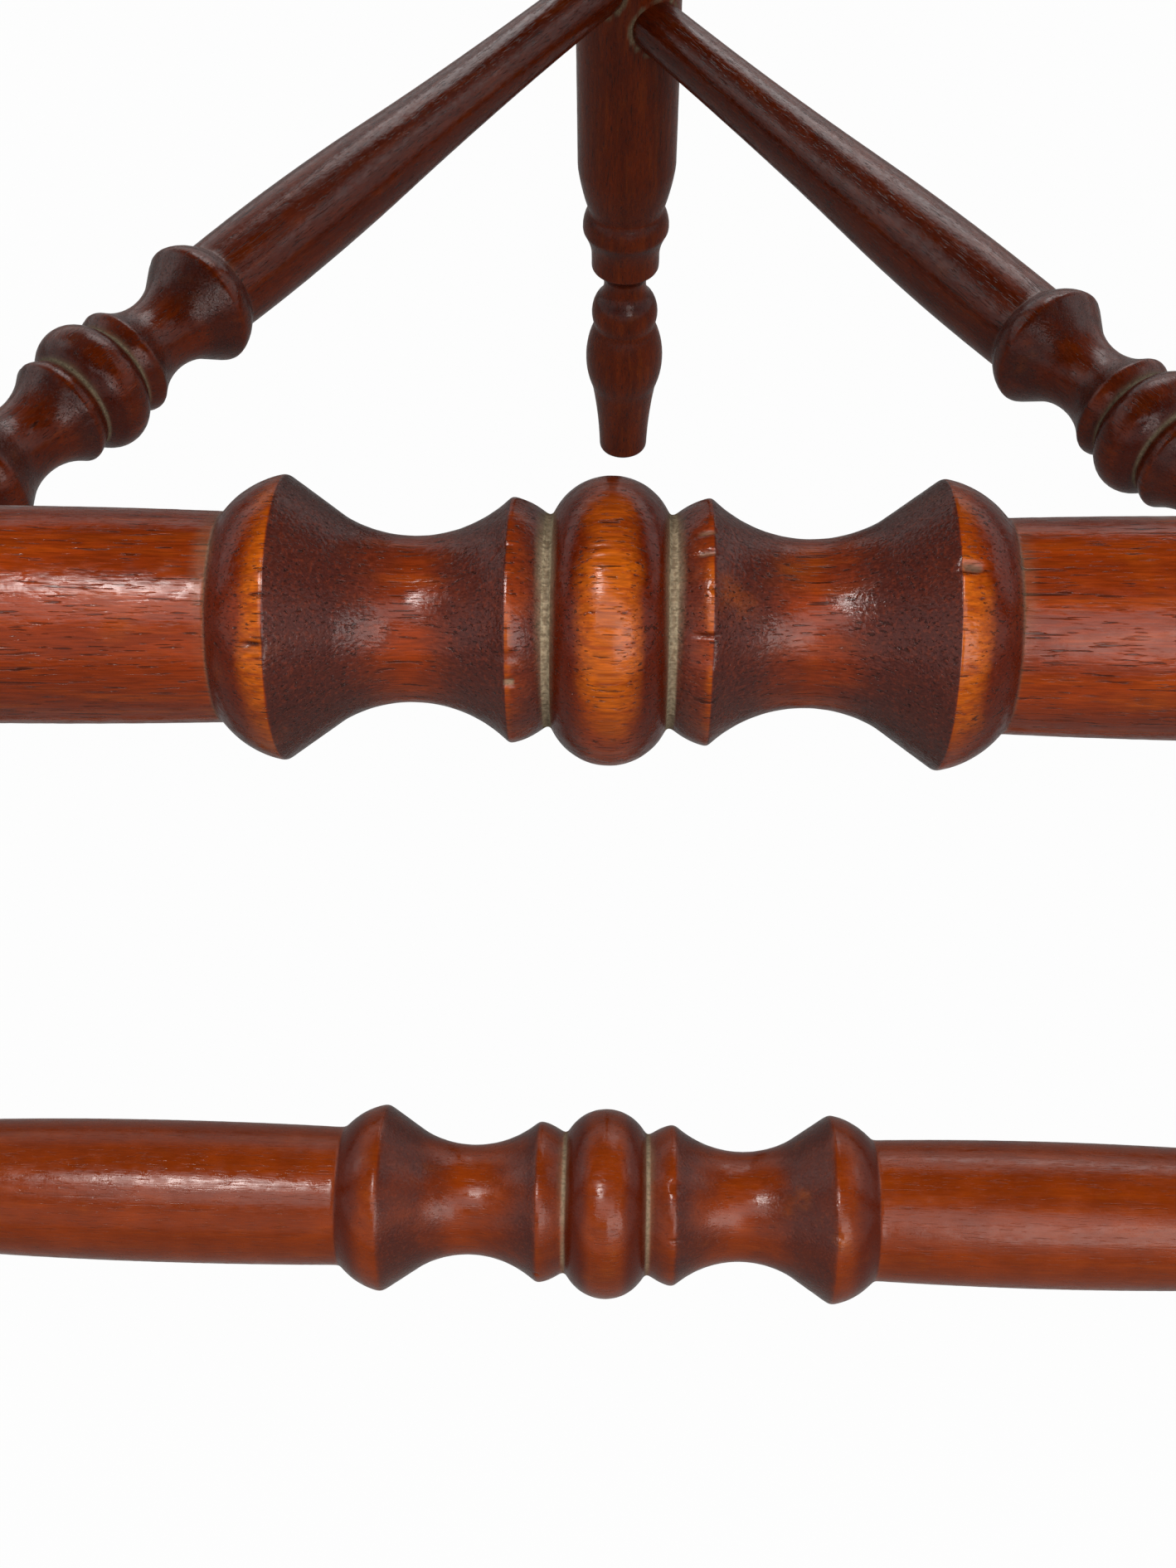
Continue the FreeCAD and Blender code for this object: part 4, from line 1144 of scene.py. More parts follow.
@dataclass(frozen=True)
class Stretchers(Assembly):
    """The six turned stretchers, three at each of two levels."""

    group: TurnedGroup = TurnedGroup()
    joints: Joints = Joints()
    swell_end: float = 115.0 * MM
    swell_radius: float = 11.7 * MM
    side_swell_radius: float = 10.4 * MM
    side_across: float = 0.95
    swell_rise: float = 0.7 * MM
    taper_sag: float = 0.6 * MM
    lower_front_along: float = 1.07
    near_rows: int = 430
    near_columns: int = 216
    far_rows: int = 300
    far_columns: int = 120
    near_half: float = 75.0 * MM
    lower_reach: float = 1.5
    facing: float = np.radians(40.0)
    gather: float = 0.55
    rubbed_rise: float = np.radians(42.0)
    first_seed: int = 11
    upper_front: Wear = Wear(drift=-34.0, edge=0.3 * MM)
    # The lower front stretcher is the smoothest: its pores are filled and its ground is warmed by polish,
    # and darkened as painted shade
    lower_front: Wear = Wear(rubbed=0.22, torn=0.7, grime=0.75, stain=0.34, polish=1.0, edge=0.6 * MM)
    # The side stretchers' ground is darkened as painted shade
    side: Wear = Wear(rubbed=0.22, torn=0.6, stain=0.36, edge=0.6 * MM)
    # Nicks of the upper front stretcher: place from its middle in mm, angle from the top in degrees, size
    # along and round and depth in mm, and how far it is caked and how dark
    nicks: tuple[tuple[float, ...], ...] = (
        (-37.9, 53.0, 2.2, 0.7, 0.6, 0.0, 1.0),
        (-37.9, 55.6, 2.2, 1.0, 0.25, 0.3, 0.1),
        (-10.7, 71.5, 1.3, 1.0, 0.4, 0.6, 0.0),
        (10.4, 48.5, 2.4, 0.5, 0.5, 0.0, 0.8),
        (10.3, 55.5, 2.4, 3.0, 0.35, 0.15, 0.0),
        (10.4, -2.0, 2.2, 0.8, 0.4, 0.5, 0.2),
        (10.4, 10.0, 2.2, 0.8, 0.4, 0.4, 0.2),
        (37.9, 20.0, 2.5, 1.2, 0.6, 0.5, 0.7),
        (37.6, 22.2, 2.2, 0.4, 0.4, 0.0, 1.0),
        (-0.4, 9.0, 5.0, 0.45, 0.15, 0.0, 1.0),
        (0.8, 3.0, 3.4, 0.4, 0.15, 0.0, 1.0),
        (-1.5, 14.0, 3.6, 0.4, 0.15, 0.0, 1.0),
        (0.4, 18.0, 5.2, 0.4, 0.13, 0.0, 1.0),
    )

    def dents(self, middle: float) -> list[Dent]:
        """The listed nicks, about a stretcher's middle.

        Args:
            middle: the stretcher's middle along its axis.

        Returns:
            The nicks.
        """
        return [
            Dent(middle + place * MM, np.radians(angle), along * MM, around * MM, depth * MM, caked, dark)
            for place, angle, along, around, depth, caked, dark in self.nicks
        ]

    def build(self) -> None:
        """Build and dress every stretcher."""
        names = [f"{level}_{side}_stretcher"
                 for level in ("lower", "upper") for side in ("front", "left", "right")]
        wears = {"upper_front_stretcher": self.upper_front, "lower_front_stretcher": self.lower_front}
        for seed, node in enumerate(names, self.first_seed):
            start, end = self.plan.ends(node)
            run = float(np.linalg.norm(end - start))
            middle = run / 2
            front, lowest = node in wears, node == "lower_front_stretcher"
            along = self.lower_front_along if lowest else 1.0
            across = 1.0 if front else self.side_across
            swell = self.swell_radius if front else self.side_swell_radius
            between = [
                Station(middle - self.swell_end, swell, self.swell_rise),
                *self.group.stations(middle, along, across, self.swell_rise),
                Station(middle + self.swell_end, swell),
            ]
            half = self.near_half * (self.lower_reach if lowest else 1.0)
            near = {"focus": (middle - half, middle + half), "facing": self.facing, "gather": self.gather}
            self.turn(
                node,
                stations=self.joints.tenoned(run, between, -self.taper_sag),
                foot=start,
                axis=(end - start) / run,
                rows=self.near_rows if front else self.far_rows,
                columns=self.near_columns if front else self.far_columns,
                seed=seed,
                rubbed_from=self.plan.outward((start + end) / 2, self.rubbed_rise),
                wear=wears.get(node, self.side),
                crests=self.group.crests(middle, along, across),
                dents=self.dents(middle) if front and not lowest else [],
                **(near if front else {}),
            )


@dataclass(frozen=True)
class Legs(Assembly):
    """The three legs, each turned in one with the post above it."""

    group: TurnedGroup = TurnedGroup()
    rows: int = 420
    columns: int = 112
    foot_radius: float = 8.7 * MM
    foot_edge: float = 1.5 * MM
    foot_flare_sag: float = 0.5 * MM
    bulb_start: float = 30.0 * MM
    bulb_start_radius: float = 11.4 * MM
    bulb_rise: float = 2.7 * MM
    bulb_end: float = 57.0 * MM
    waist_radius: float = 10.5 * MM
    ankle_ring_rise: float = 1.3 * MM
    ankle_ring_end: float = 68.0 * MM
    ankle_radius: float = 10.0 * MM
    ankle_sag: float = 3.5 * MM
    ankle_top: float = 81.5 * MM
    band_radius: float = 11.6 * MM
    band_top: float = 87.5 * MM
    lip_sag: float = 0.5 * MM
    lip_height: float = 96.5 * MM
    lip_radius: float = 14.5 * MM
    lip_rise: float = 0.7 * MM
    lip_top: float = 104.5 * MM
    lip_groove_radius: float = 12.5 * MM
    shoulder_rise: float = 0.4 * MM
    shoulder_top: float = 121.0 * MM
    leg_radius: float = 16.1 * MM
    bead_half: float = 8.0 * MM
    bead_cut: float = 2.2 * MM
    bead_rise: float = 3.0 * MM
    bead_cone: float = 2.5 * MM
    post_margin: float = 12.0 * MM
    post_step: float = 6.0 * MM
    post_step_rise: float = 1.2 * MM
    post_group_share: float = 0.72
    post_top_radius: float = 10.9 * MM
    post_collar: float = 12.0 * MM
    post_collar_rise: float = 2.6 * MM
    post_tenon_radius: float = 9.0 * MM
    tenon_proud: float = 0.35 * MM
    wedge_length: float = 17.4 * MM
    wedge_thick: float = 2.6 * MM
    wedge_tip: float = 1.2 * MM
    wedge_depth: float = 14.0 * MM
    wedge_proud: float = 0.3 * MM
    # The wedge's crown: how far below the top each loop lies, and how far in
    wedge_drops: tuple[float, ...] = (0.4 * MM, 0.12 * MM, 0.0)
    wedge_insets: tuple[float, ...] = (0.0, 0.1 * MM, 0.35 * MM)
    wedge_points: int = 32
    # Powers of the cosine and the sine: the smaller, the squarer the end
    wedge_powers: tuple[float, float] = (0.25, 0.5)
    first_seed: int = 31
    slack: float = 0.1 * MM

    def heights(self) -> dict[str, float]:
        """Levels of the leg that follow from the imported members.

        Returns:
            Heights of the bead's middle, of the post's two ends and of the arms' underside.
        """
        low = node_middle("lower_left_stretcher")[2]
        high = node_middle("upper_front_stretcher")[2]
        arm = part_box("left_arm")[0][2]
        post_low = node_middle("left_back_rail")[2] + Joints().end_radius + self.post_margin
        post_high = arm - self.post_collar
        return {"bead": (low + high) / 2, "post_low": post_low, "post_high": post_high, "arm": arm}

    def stations(self, top: float) -> list[Station]:
        """Corners of a leg from the floor to the top of its tenon.

        Args:
            top: height of the tenon's top.

        Returns:
            The corners in order.
        """
        level = self.heights()
        bead_low, bead_high = level["bead"] - self.bead_half, level["bead"] + self.bead_half
        post_low, post_high = level["post_low"], level["post_high"]
        turned = post_high - post_low - self.post_step
        middle = (post_low + self.post_step + post_high) / 2
        along = self.post_group_share * turned / (2 * self.group.flange_end)
        bead_radius = self.leg_radius - self.bead_cut
        return [
            Station(0.0, 0.0),
            Station(0.0, self.foot_radius - self.foot_edge, self.foot_edge * (1 - np.sqrt(0.5))),
            Station(self.foot_edge, self.foot_radius, -self.foot_flare_sag),
            Station(self.bulb_start, self.bulb_start_radius, self.bulb_rise),
            Station(self.bulb_end, self.waist_radius, self.ankle_ring_rise),
            Station(self.ankle_ring_end, self.ankle_radius, -self.ankle_sag),
            Station(self.ankle_top, self.band_radius),
            Station(self.band_top, self.band_radius, -self.lip_sag),
            Station(self.lip_height, self.lip_radius, self.lip_rise),
            Station(self.lip_top, self.lip_groove_radius, self.shoulder_rise),
            Station(self.shoulder_top, self.leg_radius),
            Station(bead_low - self.bead_cone, self.leg_radius),
            Station(bead_low, bead_radius, self.bead_rise),
            Station(bead_high, bead_radius),
            Station(bead_high + self.bead_cone, self.leg_radius),
            Station(post_low, self.leg_radius, self.post_step_rise),
            Station(post_low + self.post_step, self.group.neck_radius),
            *self.group.stations(middle, along),
            Station(post_high, self.post_top_radius, self.post_collar_rise),
            Station(level["arm"], self.post_top_radius),
            Station(level["arm"], self.post_tenon_radius),
            Station(top, self.post_tenon_radius),
            Station(top, 0.0),
        ]

    def sockets(self, foot: np.ndarray) -> list[tuple[np.ndarray, np.ndarray]]:
        """Where the level members enter a leg: a point on its axis and the way out along the member.

        Args:
            foot: the leg's axis on the floor.

        Returns:
            A point and a way for each member.
        """
        found = []
        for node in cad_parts:
            if node.endswith(("stretcher", "back_rail")):
                for here, there in (self.plan.ends(node), self.plan.ends(node)[::-1]):
                    if np.allclose(here[:2], foot[:2], atol=self.slack):
                        found.append((here, (there - here) / np.linalg.norm(there - here)))
        return found

    def wedge(self, hand: Hand) -> np.ndarray:
        """Loops of a wedge across a front post's tenon, from its thin tip up to its crowned top.

        Each loop is a rectangle with round ends in plan: the cosine and sine of an angle, flattened.

        Args:
            hand: which post.

        Returns:
            Loops of points, loops by points by 3.
        """
        foot = self.plan.left if hand is Hand.LEFT else self.plan.right
        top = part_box("post_wedges")[1][2] + self.tenon_proud + self.wedge_proud
        drop = np.array([self.wedge_depth, *self.wedge_drops])
        inset = np.array([0.0, *self.wedge_insets])
        thick = np.interp(drop, [0, self.wedge_depth], [self.wedge_thick, self.wedge_tip]) / 2 - inset
        angle = np.linspace(0, 2 * np.pi, self.wedge_points, endpoint=False)
        x, y = (np.sign(wave) * np.abs(wave) ** power * half[:, None] for wave, power, half in zip(
            (np.cos(angle), np.sin(angle)), self.wedge_powers, (self.wedge_length / 2 - inset, thick)))
        z = (top - drop)[:, None] + 0 * angle
        return np.stack([x, y, z], -1) + foot

    def build(self) -> None:
        """Build and dress the legs and the wedges in the front posts."""
        places = dict(left_front_leg=self.plan.left, right_front_leg=self.plan.right, rear_leg=self.plan.rear)
        for seed, (node, foot) in enumerate(places.items(), self.first_seed):
            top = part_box(node)[1][2] + (self.tenon_proud if "front" in node else 0.0)
            self.turn(
                node,
                stations=self.stations(top),
                foot=foot,
                axis=UP,
                rows=self.rows,
                columns=self.columns,
                seed=seed,
                rubbed_from=self.plan.outward(foot, 0.0),
                sockets=self.sockets(foot),
            )
        wedges = loft_piece("tenon_wedges", *({"points": self.wedge(hand)} for hand in Hand))
        dress(wedges, self.finishes.bare_wood, Slot.BARE_WOOD, "post_wedges")


# Arms, crest and spindles


@dataclass(frozen=True)
class ArmLine:
    """Middle line of an arm in plan: an arc round the back, then a wide arc that passes over a front post."""

    centre: np.ndarray
    side_centre: np.ndarray
    side_radius: float
    post_reach: float
    back_radius: float = 140.0 * MM
    back_turn: float = np.radians(58.0)
    overhang: float = 30.0 * MM

    @classmethod
    def over(cls, plan: Plan) -> "ArmLine":
        """Work out the side arc that is tangent to the rear bend and passes over the right front post.

        Args:
            plan: the legs' axes.

        Returns:
            The line.
        """
        bend = np.array([np.sin(cls.back_turn), np.cos(cls.back_turn)])
        centre = np.array([0.0, plan.rear[1] - cls.back_radius])
        turn = centre + cls.back_radius * bend
        away = plan.right[:2] - turn
        radius = -(away @ away) / (2 * (away @ bend))
        middle = turn - radius * bend
        to_post = plan.right[:2] - middle
        fan = np.pi / 2 - cls.back_turn - np.arctan2(to_post[1], to_post[0])
        return cls(centre, middle, radius, cls.back_radius * cls.back_turn + radius * fan)

    @property
    def rear_length(self) -> float:
        """Length of the rear bend, from the middle of the back."""
        return self.back_radius * self.back_turn

    def at(self, reach: np.ndarray) -> tuple[np.ndarray, np.ndarray]:
        """Points of the right arm's line and its outward normals, by the way from the middle of the back.

        Args:
            reach: distances along the line, negative past the middle.

        Returns:
            Points and unit normals in plan, n by 2 each.
        """
        rear = reach / self.back_radius
        side = self.back_turn + (reach - self.rear_length) / self.side_radius
        on_rear = (reach < self.rear_length)[:, None]
        angle = np.where(on_rear[:, 0], rear, side)
        normal = np.stack([np.sin(angle), np.cos(angle)], -1)
        points = np.where(
            on_rear,
            self.centre + self.back_radius * normal,
            self.side_centre + self.side_radius * normal,
        )
        return points, normal


@dataclass(frozen=True)
class Arms(Assembly):
    """The two bent arms, lapped at the back, and the crest on top of the lap."""

    line: ArmLine
    width: float = 60.0 * MM
    top_round: float = 7.0 * MM
    under_round: float = 4.0 * MM
    lap_half: float = 24.0 * MM
    crest_width: float = 34.0 * MM
    crest_height: float = 44.0 * MM
    crest_turn: float = np.radians(52.0)
    crest_flat: float = 36.0 * MM
    crest_fall: float = 46.0 * MM
    crest_end_height: float = 13.0 * MM
    crest_ogee_rise: float = 5.0 * MM
    crest_edge: float = 3.0 * MM
    crest_step: float = 0.5 * MM
    crest_softness: float = 2.0 * MM
    crest_loops: int = 161
    crest_points: int = 9
    crest_round_points: int = 7
    # The sawn sides start and end at these shares of the height, below the rounded edges
    crest_sides: tuple[float, float] = (0.04, 0.9)
    # The share of the crest's turn that is rounded off at each end, and how far it narrows and falls there
    crest_tip: float = 0.02
    tip_narrower: float = 0.12
    tip_lower: float = 0.1
    crest_end: float = 0.985
    crest_grain: tuple[float, float, float] = (0.13, 0.2, 0.31)
    crest_wear: float = 0.8
    crest_grime: float = 0.7
    crest_grime_height: float = 1.6 * MM
    lap_points: int = 12
    lap_start: float = 0.9
    lap_step: float = 0.02 * MM
    path_points: int = 150
    tip_points: int = 30
    round_points: int = 9
    flat_points: int = 5
    rise_points: int = 7
    under_wear: float = 0.55
    top_wear: float = 0.75
    handled_wear: float = 0.45
    handled_reach: float = 70.0 * MM
    end_torn: float = 0.7
    seed: int = 51

    def section(self, thick: float) -> tuple[np.ndarray, np.ndarray, np.ndarray]:
        """Half a section of an arm, from the middle of its underside round its edge to the middle of its top.

        Args:
            thick: the arm's thickness.

        Returns:
            Inset from the outline, height above the underside, and wear, for each point.
        """
        quarter = np.linspace(0, np.pi / 2, self.round_points)
        flat = np.linspace(self.width / 2, 0, self.flat_points)[:-1]
        low, high = self.under_round, self.top_round
        rise = np.linspace(low, thick - high, self.rise_points)[1:-1]
        edge = np.sin(2 * quarter)
        parts = (
            (low + flat * (1 - 2 * low / self.width), 0 * flat, 0 * flat),
            (low * (1 - np.sin(quarter)), low * (1 - np.cos(quarter)), self.under_wear * edge),
            (0 * rise, rise, 0 * rise),
            (high * (1 - np.cos(quarter)), thick - high * (1 - np.sin(quarter)), self.top_wear * edge),
            (high + flat[::-1] * (1 - 2 * high / self.width), 0 * flat + thick, 0 * flat),
        )
        return tuple(np.concatenate(part) for part in zip(*parts))

    def arm(self, hand: Hand) -> Piece:
        """Build one arm.

        Its loops follow the plan's outline, outer side, round tip and inner side, each at an inset and a
        height of the section: a point is the middle line plus its normal times half the width less the inset.

        Args:
            hand: which arm.

        Returns:
            The new object.
        """
        low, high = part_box(f"{hand.word}_arm")
        thick = high[2] - low[2]
        inset, height, wear = self.section(thick)
        far = self.line.post_reach + self.line.overhang
        lap = self.line.back_radius * np.arcsin(self.lap_half / self.line.back_radius)
        lapped = np.linspace(-lap * self.lap_start, lap - self.lap_step, self.lap_points)
        reach = np.concatenate([[-lap], lapped, np.linspace(lap + self.lap_step, far, self.path_points)])
        middle, normal = self.line.at(reach)
        start = np.arctan2(normal[-1, 1], normal[-1, 0])
        sweep = start - np.linspace(0, np.pi, self.tip_points + 2)[1:-1]
        tip_normal = np.stack([np.cos(sweep), np.sin(sweep)], -1)
        centre = np.concatenate([middle, np.repeat(middle[-1:], self.tip_points, 0), middle[::-1]])
        outward = np.concatenate([normal, tip_normal, -normal[::-1]])
        where = np.concatenate([reach, np.full(self.tip_points, far), reach[::-1]])
        flat = centre + (self.width / 2 - inset)[:, None, None] * outward
        up = height[:, None] + 0 * where
        # The right arm keeps the upper half of the lap, the left arm the lower half
        halved = np.maximum(up, thick / 2) if hand is Hand.RIGHT else np.minimum(up, thick / 2)
        up = np.where(where < lap, halved, up)
        points = np.concatenate([flat * (hand.value, 1), (low[2] + up)[..., None]], -1)
        chord = middle[-1] - middle[self.lap_points]
        chord /= np.linalg.norm(chord)
        grain = np.stack([flat @ chord, flat @ np.array([-chord[1], chord[0]]), up], -1)
        rng = np.random.default_rng(self.seed + hand.value)
        end = np.abs(outward @ chord) * (inset < self.top_round)[:, None]
        handled = self.handled_wear * np.exp(-np.maximum(far - where, 0) / self.handled_reach)
        upper = (height > thick / 2)[:, None]
        wear = wear[:, None]
        attributes = {
            "grain": grain + rng.uniform(-GRAIN_SHIFT, GRAIN_SHIFT, 3),
            "wear": np.where(wear > 0, wear + handled, handled * upper),
            "torn": self.end_torn * end,
            "satin": np.ones_like(up),
        }
        loops, ring = points.shape[:2]
        faces = loft_faces(loops, ring, caps=False)
        rows = {key: grid.reshape(loops * ring, *grid.shape[2:]) for key, grid in attributes.items()}
        return make_piece(f"bent_{hand.word}_arm", points.reshape(-1, 3), faces, rows)

    def crest_top(self, x: np.ndarray) -> np.ndarray:
        """Height of the crest at a place across the chair: level, then an ogee fall to a low end.

        Args:
            x: places across the chair.

        Returns:
            Height above the arms at each place.
        """
        knee = self.crest_flat + self.crest_fall / 2
        foot = self.crest_flat + self.crest_fall
        line = outline_points([
            Station(0.0, self.crest_height),
            Station(self.crest_flat, self.crest_height, self.crest_ogee_rise),
            Station(knee, (self.crest_height + self.crest_end_height) / 2, -self.crest_ogee_rise),
            Station(foot, self.crest_end_height),
            Station(2 * foot, self.crest_end_height),
        ], self.crest_step)
        place, height = (softened(values, self.crest_softness, self.crest_step) for values in line[:, :2].T)
        return np.interp(np.abs(x), place, height)

    def crest(self) -> Piece:
        """Build the crest: a section with rounded edges, carried round the rear bend.

        A point is at the bend's radius plus an offset e, at a share f of the sawn height above the arms.

        Returns:
            The new object.
        """
        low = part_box("crest")[0][2]
        edge, half = self.crest_edge, self.crest_width / 2
        quarter = np.linspace(0, np.pi / 2, self.crest_round_points)
        under = np.linspace(-1, 1, self.crest_points) * half
        sides = np.linspace(*self.crest_sides, self.crest_points)
        top = np.linspace(-1, 1, self.crest_points)[1:-1] * (half - edge)
        rubbed = self.crest_wear * np.sin(2 * quarter)
        # Once round the section: offset from the middle, share of the height, drop below the sawn top, wear
        parts = (
            (under, 0 * under, 0 * under, 0 * under),
            (0 * sides + half, sides, edge * sides, 0 * sides),
            (half - edge * (1 - np.cos(quarter)), 0 * quarter + 1, edge * (1 - np.sin(quarter)), rubbed),
            (top[::-1], 0 * top + 1, 0 * top, 0 * top),
            (-half + edge * (1 - np.sin(quarter)), 0 * quarter + 1, edge * (1 - np.cos(quarter)), rubbed),
            (0 * sides - half, sides[::-1], edge * sides[::-1], 0 * sides),
        )
        offset, share, drop, wear = (np.concatenate(part) for part in zip(*parts))
        turn = np.linspace(-1, 1, self.crest_loops)[:, None]
        past = ramp(np.abs(turn), 1 - self.crest_tip, self.crest_tip)
        shrunk = 1 - np.sqrt(1 - past**2)
        radius = self.line.back_radius + offset * (1 - self.tip_narrower * shrunk)
        angle = turn * self.crest_turn
        x, y = radius * np.sin(angle), self.line.centre[1] + radius * np.cos(angle)
        tall = self.crest_top(x)
        z = low + share * tall - drop - self.tip_lower * tall * shrunk * share
        points = np.stack([x, y, z], -1)
        spread = np.zeros_like(x)
        return loft_piece("sawn_crest", {
            "points": points,
            "grain": points + self.crest_grain,
            "wear": wear + spread,
            "grime": self.crest_grime * (1 - ramp(share * tall, 0.0, self.crest_grime_height)),
            "torn": np.where(np.abs(turn) > self.crest_end, self.end_torn, 0.0) + spread,
            "satin": 1 + spread,
        })

    def build(self) -> None:
        """Build and dress the arms and the crest."""
        for hand in Hand:
            dress(self.arm(hand), self.finishes.stained_wood, Slot.STAINED_WOOD, f"{hand.word}_arm")
        dress(self.crest(), self.finishes.stained_wood, Slot.STAINED_WOOD, "crest")


@dataclass(frozen=True)
class Back(Assembly):
    """The two back rails and the spindles between them and the arms."""

    line: ArmLine
    group: TurnedGroup = TurnedGroup()
    joints: Joints = Joints()
    rail_radius: float = 10.4 * MM
    rail_taper: float = 105.0 * MM
    spindles: int = 4
    spindle_radius: float = 4.0 * MM
    spindle_drop: float = 2.0 * MM
    spindle_bare: float = 14.0 * MM
    spindle_sink: float = 13.0 * MM
    spindle_swell: float = 1.0 * MM
    spindle_across: float = 0.5
    spindle_along: float = 0.6
    spindle_wobble: float = 0.04 * MM
    rail_rubbed_rise: float = np.radians(30.0)
    rail_rows: int = 200
    rail_columns: int = 72
    rail_seed: int = 61
    spindle_rows: int = 190
    spindle_columns: int = 44
    spindle_seed: int = 71
    side_seed: int = 10

    def rail(self, hand: Hand) -> None:
        """Build and dress a back rail: a plain rod, tapered to its tenons.

        Args:
            hand: which side of the back.
        """
        node = f"{hand.word}_back_rail"
        start, end = self.plan.ends(node)
        run = float(np.linalg.norm(end - start))
        between = [Station(place, self.rail_radius) for place in (self.rail_taper, run - self.rail_taper)]
        self.turn(
            node,
            stations=self.joints.tenoned(run, between),
            foot=start,
            axis=(end - start) / run,
            rows=self.rail_rows,
            columns=self.rail_columns,
            seed=self.rail_seed + hand.value,
            rubbed_from=self.plan.outward((start + end) / 2, self.rail_rubbed_rise),
        )

    def spindle(self, hand: Hand, index: int) -> None:
        """Build and dress a spindle: straight ends, swells and a small turned group.

        Args:
            hand: which side of the back.
            index: the spindle's number, from the front.
        """
        node = f"{hand.word}_spindle_{index}"
        share = index / (self.spindles + 1)
        start, end = self.plan.ends(f"{hand.word}_back_rail")
        foot = start + (end - start) * share
        reach = np.array([self.line.post_reach * (1 - share)])
        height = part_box(f"{hand.word}_arm")[0][2] + self.spindle_sink
        top = np.append(self.line.at(reach)[0][0] * (hand.value, 1), height)
        length = float(np.linalg.norm(top - foot))
        axis = (top - foot) / length
        length += self.spindle_drop
        middle = (length + self.spindle_bare - self.spindle_sink) / 2
        stations = [
            Station(0.0, 0.0),
            Station(0.0, self.spindle_radius),
            Station(self.spindle_bare, self.spindle_radius, self.spindle_swell),
            *self.group.stations(middle, self.spindle_along, self.spindle_across, self.spindle_swell),
            Station(length - 2 * self.spindle_sink, self.spindle_radius),
            Station(length, self.spindle_radius),
            Station(length, 0.0),
        ]
        self.turn(
            node,
            stations=stations,
            foot=foot - axis * self.spindle_drop,
            axis=axis,
            rows=self.spindle_rows,
            columns=self.spindle_columns,
            seed=self.spindle_seed + self.side_seed * hand.value + index,
            rubbed_from=-self.plan.outward(foot, 0.0),
            wobble=self.spindle_wobble,
        )

    def build(self) -> None:
        """Build and dress both sides of the back."""
        for hand in Hand:
            self.rail(hand)
            for index in range(1, self.spindles + 1):
                self.spindle(hand, index)


# Seat


